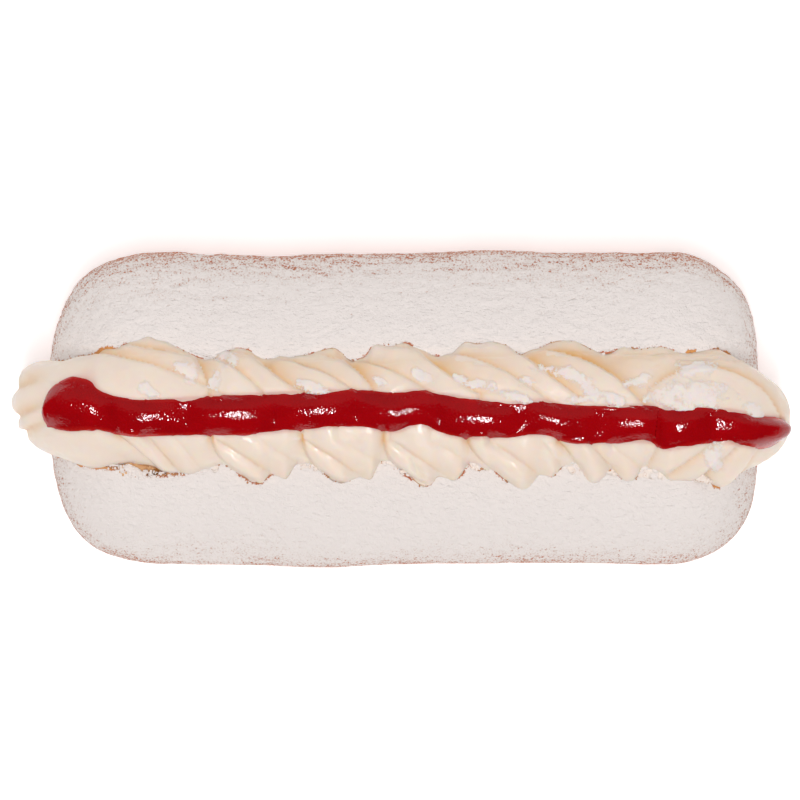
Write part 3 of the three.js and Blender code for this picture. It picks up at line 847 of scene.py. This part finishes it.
def jam_surface():
    """A bead along the course, in waves with a cusp between them, and a fold that drops off.

    Its section is flat on top and runs out to both sides: rise * (1 - |u| ** flatness), for u from -1 to 1.
    Where a strand stands higher, a film of jam goes over it: the larger of the two, blended by a hyperbola.
    """
    share = np.linspace(0, 1, JAM_ROWS)
    cusps = (JAM_CRESTS[1:] + JAM_CRESTS[:-1]) / 2
    at_cusps = np.interp(cusps, along_course(JAM_COURSE, share)[:, 0], share)
    share = np.sort(np.concatenate([share, at_cusps]))
    s, y, half = (values[:, None] for values in along_course(JAM_COURSE, share).T)
    ends = np.sqrt(np.clip(1 - (2 * share - 1) ** JAM_END_POWER, 0, 1))[:, None]
    angle = np.linspace(0, 2 * np.pi, JAM_COLUMNS, endpoint=False)
    side = half * JAM_SPREAD * ends * np.cos(angle)
    across = y - axis_y(rope_axis(s)[0]) + side
    lean = np.arctan2(CREAM_RISE, across)
    strands = piping(s, lean)[0]
    cream_top = (plain_radius(s, lean) + strands) * np.sin(lean)
    bed = (plain_radius(s, lean) + JAM_FOLLOW * draped(strands)) * np.sin(lean) - JAM_SETTLE
    full = np.minimum(1, half / JAM_FULL) * ends
    from_crest = 2 * np.abs((np.interp(s, JAM_CRESTS, np.arange(len(JAM_CRESTS))) + 0.5) % 1 - 0.5)
    wave = JAM_WAVE * (WAVE_LIFT - from_crest**2)
    past_fold = s - JAM_FOLD - FOLD_CURVE * np.cos(angle)
    ridge, drop = FOLD_RIDGE * np.exp(past_fold / RIDGE_RUN), FOLD_DROP * np.exp(-past_fold / DROP_RUN)
    fold = np.where(past_fold < 0, ridge, -drop)
    dome = 1 - np.abs(np.cos(angle)) ** JAM_FLATNESS
    lift = TIP_LIFT * smoothstep(TIP_FROM, jam_course[-1, 0] - JAM_END_BLEND, s)
    rise = (JAM_RISE + JAM_SETTLE + lift) * dome + (wave + fold) * dome**2
    film = cream_top + lerp(JAM_FILM, -JAM_SETTLE, np.abs(np.cos(angle)) ** FILM_POWER) * full
    bead = bed + rise * full
    top = 0.5 * (bead + film + np.hypot(bead - film, FILM_BLEND * dome))
    edge = cream_top - JAM_SETTLE * full
    height = np.where(np.sin(angle) > 0, top - edge, JAM_SINK * np.sin(angle) * full)
    points = on_rope(s, across, edge + height)
    coarse, fine = (noise(points, JAM_UNEVEN_SIZES[k], 51 + k) for k in (0, 1))
    uneven = JAM_UNEVEN_HEIGHTS[0] * coarse + JAM_UNEVEN_HEIGHTS[1] * fine
    depth = np.maximum(height, 0) * lerp(1, THIN_TIP, smoothstep(TIP_FROM, jam_course[-1, 0], s))
    return points + grid_normals(points) * (uneven * ends)[..., None], depth


jam_points, jam_depth = jam_surface()
jam = make_piece("jam_bead", jam_points, closed_grid_faces(*jam_points.shape[:2]), {"depth": jam_depth})
jam.data.set_sharp_from_angle(angle=np.radians(SHARP_CUSP))
print("jam of", len(jam.data.polygons), "faces")

# %% [markdown]
# ## Loose sugar and crumbs
# The knife and the cream break the crust along the lips. In the notches between the petals lie lumps of sugar
# and torn bread, and crumbs of brown crust lie all along. Each kind is one mesh of many small lumps, every
# lump a ball of few faces pushed in and out by noise. Most are put on points picked from the lips themselves.

# %% Lumps along the lips
# Each notch: how far along the roll it is and how far it runs.
NOTCHES = np.array(
    [[-60, 6], [-44.5, 4], [-22, 2.5], [-3.5, 3.5], [15.5, 2.8], [36.5, 3], [45.9, 2], [54.5, 3], [66.5, 3]]
)
TOP_ABOVE_WAIST = 14
BALL_STRETCH, BALL_FLATTEN, BALL_SHIFT, DENT_SCALE = (0.6, 1.4), (1, 1, 0.7), 30, 1.3
LUMP_COUNT, STRAY_CHANCE = 700, 0.05
LUMP_ALONG, LUMP_INWARD, LUMP_UP, STRAY_INWARD = 0.4, (-0.5, 0.9), (-0.25, 0.15), 0.3
LUMP_LOG_SIZE, STRAY_SIZE, NOTCH_GAIN = (-1.5, 0.45), 0.6, 0.9


def lumps(centres, sizes, seed, rows=6, columns=8, dents=0.4):
    """Balls of rows by columns, each stretched in x, y and z and dented by its own noise, as one array."""
    theta = np.linspace(0, np.pi, rows)[:, None]
    phi = np.linspace(0, 2 * np.pi, columns, endpoint=False)
    ball = [np.sin(theta) * np.cos(phi), np.sin(theta) * np.sin(phi), -np.cos(theta) + 0 * phi]
    ball = np.stack(ball, axis=-1)
    draw = np.random.default_rng(seed)
    stretch = draw.uniform(*BALL_STRETCH, (len(centres), 1, 1, 3)) * np.array(BALL_FLATTEN)
    offset = draw.uniform(0, BALL_SHIFT, (len(centres), 1, 1, 3))
    dented = ball * (1 + dents * rough(ball * DENT_SCALE + offset, 1.0, 2, seed))[..., None]
    points = centres[:, None, None, :] + dented * stretch * sizes[:, None, None, None]
    first_points = np.arange(len(centres))[:, None, None] * rows * columns
    return points, (closed_grid_faces(rows, columns)[None] + first_points).reshape(-1, 4)


top_lips = lips[(lips[:, 2] > BUN_WAIST + TOP_ABOVE_WAIST) & (np.abs(lips[:, 0]) < LIP_FALLEN)]
near_lip = top_lips[:, 1] < axis_y(top_lips[:, 0])
in_notch = bell(top_lips[:, :1] - NOTCHES[:, 0], NOTCHES[:, 1]).max(axis=1) * near_lip
chance = in_notch + STRAY_CHANCE
draw = np.random.default_rng(61)
chosen = draw.choice(len(top_lips), LUMP_COUNT, p=chance / np.sum(chance))
notched = in_notch[chosen]
inward = np.where(near_lip, 1, -1)[chosen] * draw.uniform(*LUMP_INWARD, LUMP_COUNT) * (STRAY_INWARD + notched)
shift = [draw.normal(0, LUMP_ALONG, LUMP_COUNT), inward, draw.uniform(*LUMP_UP, LUMP_COUNT)]
lump_sizes = draw.lognormal(*LUMP_LOG_SIZE, LUMP_COUNT) * (STRAY_SIZE + NOTCH_GAIN * notched)
lump_points, lump_faces = lumps(top_lips[chosen] + np.stack(shift, axis=-1), lump_sizes, 62)
sugar_lumps = make_piece("sugar_lumps", lump_points, lump_faces)
sugar_lumps.data.shade_flat()
print(len(chosen), "sugar lumps")

# %% Torn bread in the notches and in the gap at the left
GAP_COUNT, GAP_FROM, GAP_TO, GAP_INWARD = 30, GAP_PLACE - 8, GAP_PLACE + 9, (0.8, 3.8)
GAP_FLOOR, GAP_UNEVEN, GAP_PIECE_SIZE = 43.5, 0.6, (0.5, 1.3)
NOTCH_PIECES, NOTCH_ALONG, NOTCH_INWARD = 9, 0.45, (-0.7, 0.9)
NOTCH_UP, NOTCH_PIECE_SIZE = 0.1, (0.3, 0.75)
# Single lumps: x, y and size.
TORN_LUMPS = np.array(
    [[37, -13.4, 1.3], [45.2, -13.6, 1.1], [53.9, -14, 1.9], [56.4, -13.2, 1], [65.3, -15.2, 1.4]]
)
TORN_ROWS, TORN_COLUMNS, TORN_DENTS = 12, 16, 0.6


def near_lip_y(x):
    """Where the near lip runs at each x."""
    return axis_y(x) - swing(*NEAR_LIP.T, x)


gap_x = draw.uniform(GAP_FROM, GAP_TO, GAP_COUNT)
gap_y = near_lip_y(gap_x) + draw.uniform(*GAP_INWARD, GAP_COUNT)
gap_z = GAP_FLOOR + draw.uniform(-GAP_UNEVEN, GAP_UNEVEN, GAP_COUNT)
notch_x, notch_run = (np.repeat(column, NOTCH_PIECES) for column in NOTCHES[1:].T)
notch_x = notch_x + draw.normal(0, NOTCH_ALONG, notch_x.shape) * notch_run
notch_y = near_lip_y(notch_x) + draw.uniform(*NOTCH_INWARD, notch_x.shape)
gap_sizes = draw.uniform(*GAP_PIECE_SIZE, GAP_COUNT)
notch_sizes = draw.uniform(*NOTCH_PIECE_SIZE, len(notch_x))
gap_spots = np.column_stack([gap_x, gap_y, gap_z])
notch_spots = np.column_stack([notch_x, notch_y, np.full(notch_x.shape, LIP_Z + NOTCH_UP)])
single_spots = np.column_stack([TORN_LUMPS[:, :2], np.full(len(TORN_LUMPS), LIP_Z)])
torn_spots = np.concatenate([gap_spots, notch_spots, single_spots])
torn_sizes = np.concatenate([gap_sizes, notch_sizes, TORN_LUMPS[:, 2]])
torn_points, torn_faces = lumps(torn_spots, torn_sizes, 68, TORN_ROWS, TORN_COLUMNS, TORN_DENTS)
from_gap = np.arange(len(torn_spots))[:, None, None] < GAP_COUNT
from_gap = np.broadcast_to(from_gap, torn_points.shape[:-1]).astype(float)
torn_bread = make_piece("torn_bread", torn_points, torn_faces, {"in_gap": from_gap})
print(len(torn_sizes), "torn pieces")

# %% Crumbs of crust
CRUMB_COUNT, CRUMB_SPREAD, CRUMB_LOG_SIZE = 360, (0.3, 0.25, 0.1), (-1.85, 0.35)
# Where the crust is cracked beside the cream: how far along the roll, at the far lip and at the near one.
FAR_CRACKS = [-45.6, -31.5, 3.1, 25.5, 61.5, 64, 66.5, 69, 71.5]
NEAR_CRACKS = [-67, -65, -63, -53.5, -51.5, -32.2, -28.8, -18.5, -11.8, -4.5, 8.9, 14.7, 27.9, 29.9, 33.5]
NEAR_CRACKS += [39.8, 51.6]
CRACK_CRUMBS, CRACK_RUN, CRACK_SIZE = 12, 1.3, 0.24
crumb_spots = top_lips[draw.integers(0, len(top_lips), CRUMB_COUNT)]
crumb_spots = [crumb_spots + draw.normal(0, CRUMB_SPREAD, (CRUMB_COUNT, 3))]
for lip_side, places in ((1, FAR_CRACKS), (-1, NEAR_CRACKS)):
    lip_here = top_lips[lip_side * (top_lips[:, 1] - axis_y(top_lips[:, 0])) > 0]
    for crack_x in places:
        at_crack = lip_here[np.abs(lip_here[:, 0] - crack_x) < CRACK_RUN]
        crumb_spots.append(at_crack[draw.integers(0, len(at_crack), CRACK_CRUMBS)])
crumb_spots = np.concatenate(crumb_spots)
crumb_sizes = np.full(len(crumb_spots), CRACK_SIZE)
crumb_sizes[:CRUMB_COUNT] = draw.lognormal(*CRUMB_LOG_SIZE, CRUMB_COUNT)
crust_crumbs = make_piece("crust_crumbs", *lumps(crumb_spots, crumb_sizes, 63))
crust_crumbs.data.shade_flat()
print(len(crumb_spots), "crumbs")

# %% [markdown]
# ## Materials
# Each material is a Principled shader fed by a few nodes. One helper adds any node with its settings and
# links, so a material reads as a list of what goes into what. Colours are written as sRGB hex, as a colour
# picker shows them, and turned to linear light, which is what the shader works in. Sizes of patterns are in
# millimetres.

# %% Helpers for materials
COLOURS = {"data_type": "RGBA"}
TIMES, TIMES_PLUS = {"operation": "MULTIPLY"}, {"operation": "MULTIPLY_ADD"}


def linear(hex_colour):
    """An sRGB hex colour as linear red, green, blue and alpha."""
    srgb = np.array([int(hex_colour[i : i + 2], 16) for i in (1, 3, 5)]) / 255
    values = np.where(srgb <= 0.04045, srgb / 12.92, ((srgb + 0.055) / 1.055) ** 2.4)
    return (*values, 1.0)


def add_node(tree, kind, settings=None, **inputs):
    """A node with its settings; each input is a value, or another node's output socket to link from.

    An input goes by its name, with _ for a space, or by _ and its number where several share a name.
    """
    node = tree.nodes.new("ShaderNode" + kind)
    for key, value in (settings or {}).items():
        setattr(node, key, value)
    for key, value in inputs.items():
        socket = node.inputs[int(key[1:])] if key[0] == "_" else node.inputs[key.replace("_", " ")]
        if isinstance(value, bpy.types.NodeSocket):
            tree.links.new(value, socket)
        else:
            socket.default_value = value
    return node


def start_material(material):
    """Empties a material's tree and returns it with its Object coordinates, in metres."""
    material.use_nodes = True
    tree = material.node_tree
    tree.nodes.clear()
    return tree, add_node(tree, "TexCoord").outputs["Object"]


def finish_material(tree, shader):
    """Links a shader to the material's output."""
    add_node(tree, "OutputMaterial", Surface=shader.outputs[0])


def per_mm(size):
    """Scale of a texture whose pattern is `size` millimetres wide, for coordinates in metres."""
    return 1 / (size * MM)


# %% [markdown]
# ### Browned crust under icing sugar
# The crust of a milk roll is thin, smooth and reddish brown. Icing sugar is a very fine white powder that
# lies on it in grains and clots: matte, with no shine. Near the edges the layer thins out, so single grains
# and the crust between them show. Real grains are too fine to show in a picture, so these are drawn coarser.

# %% Crust and sugar
CLOT_STRETCH, GRAIN_STRETCH = (0.6, 1, 0.6), (1, 1, 0.45)
CLOT_SHARE, GRAIN_SHARE = 0.5, 1.2
tree, place = start_material(crust_material)
amount = add_node(tree, "Attribute", {"attribute_name": "sugar"}).outputs["Fac"]
drawn = add_node(tree, "Mapping", Vector=place, Scale=CLOT_STRETCH).outputs[0]
slid = add_node(tree, "Mapping", Vector=place, Scale=GRAIN_STRETCH).outputs[0]
grain = add_node(tree, "TexNoise", Vector=slid, Scale=per_mm(0.45), Detail=2.0, Roughness=0.6).outputs[0]
clot = add_node(tree, "TexNoise", Vector=drawn, Scale=per_mm(1.0), Detail=2.0, Roughness=0.6, Distortion=0.4)
clot = clot.outputs[0]
clotted = add_node(tree, "Math", TIMES_PLUS, _0=clot, _1=CLOT_SHARE, _2=amount).outputs[0]
broken = add_node(tree, "Math", TIMES_PLUS, _0=grain, _1=GRAIN_SHARE, _2=clotted).outputs[0]
cover = add_node(tree, "MapRange", Value=broken, From_Min=1.25, From_Max=1.42).outputs[0]
veil = add_node(tree, "MapRange", Value=broken, From_Min=1.3, From_Max=1.62).outputs[0]
bake = add_node(tree, "Mix", COLOURS, _0=clot, _6=linear("#a9553c"), _7=linear("#cf8a62")).outputs[2]
powder = add_node(tree, "Mix", COLOURS, _0=veil, _6=linear("#d9c8c0"), _7=linear("#ebe2de")).outputs[2]
lip = add_node(tree, "Attribute", {"attribute_name": "lip"}).outputs["Fac"]
crust = add_node(tree, "Mix", COLOURS, _0=lip, _6=bake, _7=linear("#d99a58")).outputs[2]
colour = add_node(tree, "Mix", COLOURS, _0=cover, _6=crust, _7=powder).outputs[2]
lie = add_node(tree, "Bump", Strength=1.0, Distance=0.5 * MM, Height=clot).outputs[0]
relief = add_node(tree, "Bump", Strength=1.0, Distance=0.25 * MM, Height=grain, Normal=lie).outputs[0]
powdery = {"Roughness": 0.9, "IOR": 1.45, "Specular_IOR_Level": 0.15}
finish_material(tree, add_node(tree, "BsdfPrincipled", Base_Color=colour, Normal=relief, **powdery))

# %% [markdown]
# ### Bread crumb
# The torn inside of the roll is pale yellow, soft and full of small pores, and light that gets into it comes
# out warmer. Little of it shows, in the gaps beside the cream.

# %% Crumb
tree, place = start_material(crumb_material)
pores = add_node(tree, "TexNoise", Vector=place, Scale=per_mm(1.6), Detail=5.0, Roughness=0.6).outputs[0]
open_pores = add_node(tree, "MapRange", Value=pores, From_Min=0.35, From_Max=1.0).outputs[0]
tone = add_node(tree, "Mix", COLOURS, _0=open_pores, _6=linear("#cf9250"), _7=linear("#efd6ae")).outputs[2]
relief = add_node(tree, "Bump", Strength=0.8, Distance=0.6 * MM, Height=pores).outputs[0]
soft = {"Subsurface_Weight": 0.5, "Subsurface_Radius": (1.0, 0.5, 0.2), "Subsurface_Scale": 2 * MM}
shader = add_node(tree, "BsdfPrincipled", Base_Color=tone, Roughness=0.85, Normal=relief, **soft)
finish_material(tree, shader)

# %% [markdown]
# ### Piped cream
# Buttercream or whipped cream is a white fat foam, warm in colour, with a moist skin, and light goes a few
# millimetres into it. The yellow and orange in its creases is painted shade, and the brown under the lips is a
# painted shadow. Sugar that fell on it is a matte white crust, and where the jam lies it stains the cream
# pink.

# %% Cream
STAIN_STRENGTH = 0.4
tree, place = start_material(new_material(cream, "piped_cream"))
layers = ("crease_shade", "sugar", "stain", "lip_shadow")
layers = [add_node(tree, "Attribute", {"attribute_name": key}).outputs["Fac"] for key in layers]
crease_shade, fallen, stain, lip_shadow = layers
streak = add_node(tree, "TexNoise", Vector=place, Scale=per_mm(7), Detail=3.0).outputs[0]
body = add_node(tree, "Mix", COLOURS, _0=streak, _6=linear("#ead8ca"), _7=linear("#eee0d2")).outputs[2]
# Painted shade: creases tinted ochre, the deepest ones orange.
darkest_shade = add_node(tree, "MapRange", Value=crease_shade, From_Min=0.75, From_Max=1.0).outputs[0]
warm_shade = add_node(tree, "Mix", COLOURS, _0=darkest_shade, _6=linear("#dca65a"), _7=linear("#e2942f")).outputs[2]
shade_share = add_node(tree, "MapRange", Value=crease_shade, From_Max=0.9).outputs[0]
body = add_node(tree, "Mix", COLOURS, _0=shade_share, _6=body, _7=warm_shade).outputs[2]
# Painted shadow: brown on the cream under the lips.
body = add_node(tree, "Mix", COLOURS, _0=lip_shadow, _6=body, _7=linear("#c88340")).outputs[2]
pink = add_node(tree, "Math", TIMES, _0=stain, _1=STAIN_STRENGTH).outputs[0]
body = add_node(tree, "Mix", COLOURS, _0=pink, _6=body, _7=linear("#c8574a")).outputs[2]

# %% Sugar on the cream, and its moist skin
RAGGED_GRAIN, SUGAR_ROUGHNESS = 2.6, 0.9
grain = add_node(tree, "TexNoise", Vector=place, Scale=per_mm(0.8), Detail=5.0, Roughness=0.7).outputs[0]
ragged = add_node(tree, "Math", TIMES_PLUS, _0=grain, _1=RAGGED_GRAIN, _2=fallen).outputs[0]
cover = add_node(tree, "MapRange", Value=ragged, From_Min=1.36, From_Max=1.52).outputs[0]
colour = add_node(tree, "Mix", COLOURS, _0=cover, _6=body, _7=linear("#ece1db")).outputs[2]
skin = add_node(tree, "TexNoise", Vector=place, Scale=per_mm(2), Detail=1.0).outputs[0]
dry_to_moist = {"From_Min": 0.5, "From_Max": 0.62, "To_Min": 0.55, "To_Max": 0.3}
moist = add_node(tree, "MapRange", Value=skin, **dry_to_moist).outputs[0]
dull = add_node(tree, "Mix", {"data_type": "FLOAT"}, _0=cover, _2=moist, _3=SUGAR_ROUGHNESS).outputs[0]
uneven = add_node(tree, "Bump", Strength=0.5, Distance=0.25 * MM, Height=skin).outputs[0]
crusted = add_node(tree, "Math", TIMES, _0=grain, _1=cover).outputs[0]
relief = add_node(tree, "Bump", Strength=0.6, Distance=0.3 * MM, Height=crusted, Normal=uneven).outputs[0]
foam = {"Subsurface_Weight": 0.7, "Subsurface_Radius": (1.0, 0.6, 0.32), "Subsurface_Scale": 1.2 * MM}
shader = add_node(tree, "BsdfPrincipled", Base_Color=colour, Roughness=dull, IOR=1.35, Normal=relief, **foam)
finish_material(tree, shader)

# %% [markdown]
# ### Strawberry jam
# Jam is a clear dark red jelly with a wet skin. The skin is not quite smooth, so a highlight on it breaks up
# into fine specks, and thin edges are brighter because light passes through them.

# %% Jam
tree, place = start_material(new_material(jam, "red_jam"))
cloud = add_node(tree, "TexNoise", Vector=place, Scale=per_mm(6), Detail=3.0).outputs[0]
tone = add_node(tree, "Mix", COLOURS, _0=cloud, _6=linear("#8b0006"), _7=linear("#ab010a")).outputs[2]
depth = add_node(tree, "Attribute", {"attribute_name": "depth"}).outputs["Fac"]
thick = add_node(tree, "MapRange", Value=depth, From_Min=0.1, From_Max=0.9).outputs[0]
tone = add_node(tree, "Mix", COLOURS, _0=thick, _6=linear("#c2281e"), _7=tone).outputs[2]
skin = add_node(tree, "TexNoise", Vector=place, Scale=per_mm(0.44), Detail=0.0).outputs[0]
relief = add_node(tree, "Bump", Strength=1.0, Distance=0.08 * MM, Height=skin).outputs[0]
jelly = {"Subsurface_Weight": 0.25, "Subsurface_Radius": (1.0, 0.05, 0.03), "Subsurface_Scale": 2 * MM}
shader = add_node(tree, "BsdfPrincipled", Base_Color=tone, Roughness=0.08, IOR=1.4, Normal=relief, **jelly)
finish_material(tree, shader)

# %% [markdown]
# ### Loose sugar, torn bread and crumbs
# Loose sugar is the same matte powder, pressed into lumps. Torn bread is dusted with it, with brown crust in
# places, and in the gap its tan inside shows. Crumbs are flakes of the bare crust.

# %% Loose sugar, torn bread and crumbs
GAP_BREAD = 0.85
tree, place = start_material(new_material(sugar_lumps, "icing_sugar"))
grain = add_node(tree, "TexNoise", Vector=place, Scale=per_mm(0.7), Detail=5.0, Roughness=0.7).outputs[0]
tone = add_node(tree, "Mix", COLOURS, _0=grain, _6=linear("#e2d6d0"), _7=linear("#f0e8e4")).outputs[2]
relief = add_node(tree, "Bump", Strength=0.7, Distance=0.25 * MM, Height=grain).outputs[0]
finish_material(tree, add_node(tree, "BsdfPrincipled", Base_Color=tone, Roughness=0.92, Normal=relief))

tree, place = start_material(new_material(torn_bread, "torn_bread"))
patch = add_node(tree, "TexNoise", Vector=place, Scale=per_mm(1.4), Detail=4.0, Roughness=0.7).outputs[0]
dusted = add_node(tree, "MapRange", Value=patch, From_Min=0.34, From_Max=0.43).outputs[0]
tone = add_node(tree, "Mix", COLOURS, _0=dusted, _6=linear("#b5763f"), _7=linear("#eee1d8")).outputs[2]
in_gap = add_node(tree, "Attribute", {"attribute_name": "in_gap"}).outputs["Fac"]
undusted = add_node(tree, "Math", TIMES, _0=in_gap, _1=GAP_BREAD).outputs[0]
tone = add_node(tree, "Mix", COLOURS, _0=undusted, _6=tone, _7=linear("#d89f5e")).outputs[2]
relief = add_node(tree, "Bump", Strength=0.8, Distance=0.4 * MM, Height=patch).outputs[0]
finish_material(tree, add_node(tree, "BsdfPrincipled", Base_Color=tone, Roughness=0.9, Normal=relief))

tree, place = start_material(new_material(crust_crumbs, "torn_crust"))
grain = add_node(tree, "TexNoise", Vector=place, Scale=per_mm(0.8), Detail=4.0).outputs[0]
tone = add_node(tree, "Mix", COLOURS, _0=grain, _6=linear("#8a4e2c"), _7=linear("#d39d6c")).outputs[2]
finish_material(tree, add_node(tree, "BsdfPrincipled", Base_Color=tone, Roughness=0.8))
print("materials:", [m.name for m in bpy.data.materials])

# %% [markdown]
# ## Putting the pieces on the frame
# The bun has no joints, so every piece rides on the one body. Three pieces stand for the three solids.

# %% Ride and replace
for piece, node, slot in ((bun, "bun", "bread"), (cream, "cream", "cream"), (jam, "jam", "jam")):
    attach(piece, "root")
    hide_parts(node)
for piece in (sugar_lumps, torn_bread, crust_crumbs):
    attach(piece, "root")

# %% [markdown]
# ## Floor, light and camera
# The photograph looks straight down from about a metre. A soft light hangs nearly overhead, leaning to the
# near side, with a lamp before it that shows in gloss alone and makes the highlights of wet jam as bright as
# they are. A dome of white all round fills the shadows, and a wide panel on the far side gives the jam its
# pale upper band. In gloss the dome is almost dark, because its reflection would turn the red jam grey.

# %% Stage
FLOOR_SIZE = 6.0
floor_mesh = bpy.data.meshes.new("floor")
corners = FLOOR_SIZE / 2 * np.array([[-1, -1, 0], [1, -1, 0], [1, 1, 0], [-1, 1, 0]], float)
floor_mesh.from_pydata(corners.tolist(), [], [(0, 1, 2, 3)])
floor = bpy.data.objects.new("floor", floor_mesh)
bpy.context.scene.collection.objects.link(floor)
tree, _ = start_material(new_material(floor, "white_paper"))
glowing = {"Emission_Color": (1, 1, 1, 1), "Emission_Strength": 0.36}
shader = add_node(tree, "BsdfPrincipled", Base_Color=linear("#fbfafa"), Roughness=0.9, **glowing)
finish_material(tree, shader)
print("floor", FLOOR_SIZE, "m wide")

# %% Lamps


def soft_light(name, towards, distance, size, power, lights_matte=True):
    """A rectangular lamp in the direction `towards` from the bun, `distance` metres off, aimed at it.

    One that leaves the matte part of a surface alone shows in its gloss only.
    """
    lamp = bpy.data.lights.new(name, "AREA")
    lamp.shape, lamp.size, lamp.size_y, lamp.energy = "RECTANGLE", *size, power
    holder = bpy.data.objects.new(name, lamp)
    direction = np.array(towards, float) / np.linalg.norm(towards)
    holder.location = direction * distance
    holder.rotation_euler = holder.location.to_track_quat("Z", "Y").to_euler()
    holder.visible_diffuse = lights_matte
    bpy.context.scene.collection.objects.link(holder)


KEY_SIDE, FAR_SIDE = (0.0, -0.18, 1.0), (0.0, 1.0, 0.8)
soft_light("key", KEY_SIDE, distance=1.5, size=(0.18, 0.75), power=12.6)
soft_light("glint", KEY_SIDE, distance=1.49, size=(0.18, 0.6), power=17.0, lights_matte=False)
soft_light("far_panel", FAR_SIDE, distance=1.3, size=(3.0, 1.5), power=3.8)
print("lamps:", [lamp.name for lamp in bpy.data.lights])

# %% The dome of white
DOME_LIGHT, DOME_IN_GLOSS, DOME_SEEN = 0.41, 0.04, 0.95
world = bpy.data.worlds.new("studio")
bpy.context.scene.world = world
world.use_nodes = True
tree = world.node_tree
tree.nodes.clear()
ray = add_node(tree, "LightPath").outputs
gloss = {"_0": ray["Is Glossy Ray"], "_1": DOME_IN_GLOSS - DOME_LIGHT, "_2": DOME_LIGHT}
lit = add_node(tree, "Math", TIMES_PLUS, **gloss).outputs[0]
seen = {"_0": ray["Is Camera Ray"], "_1": DOME_SEEN - DOME_LIGHT, "_2": lit}
strength = add_node(tree, "Math", TIMES_PLUS, **seen).outputs[0]
dome = add_node(tree, "Background", Color=(1, 1, 1, 1), Strength=strength)
add_node(tree, "OutputWorld", Surface=dome.outputs[0])
bpy.context.scene.view_settings.view_transform = "Standard"
print("dome", DOME_LIGHT, "on matte surfaces,", DOME_IN_GLOSS, "in gloss")

# %% Camera
PHOTO_PIXELS = 800
SENSOR, LENS, CLIP_RANGE = 36.0, 200.0, (0.05, 20)
MM_PER_PIXEL = 0.2279
SCALE_LEVEL = 22.0
ROLL_PIXEL = np.array([406.0, 408.5])
camera_height = SCALE_LEVEL + MM_PER_PIXEL * PHOTO_PIXELS * LENS / SENSOR
offset = (PHOTO_PIXELS / 2 - ROLL_PIXEL) * MM_PER_PIXEL * np.array([1, -1])
camera_data = bpy.data.cameras.new("camera")
camera_data.lens, camera_data.sensor_width = LENS, SENSOR
camera_data.clip_start, camera_data.clip_end = CLIP_RANGE
camera = bpy.data.objects.new("camera", camera_data)
camera.location = (ROLL_MIDDLE + np.array([offset[0], offset[1], camera_height])) * MM
bpy.context.scene.collection.objects.link(camera)
bpy.context.scene.camera = camera
print("camera", np.round(np.array(camera.location), 4), "m")
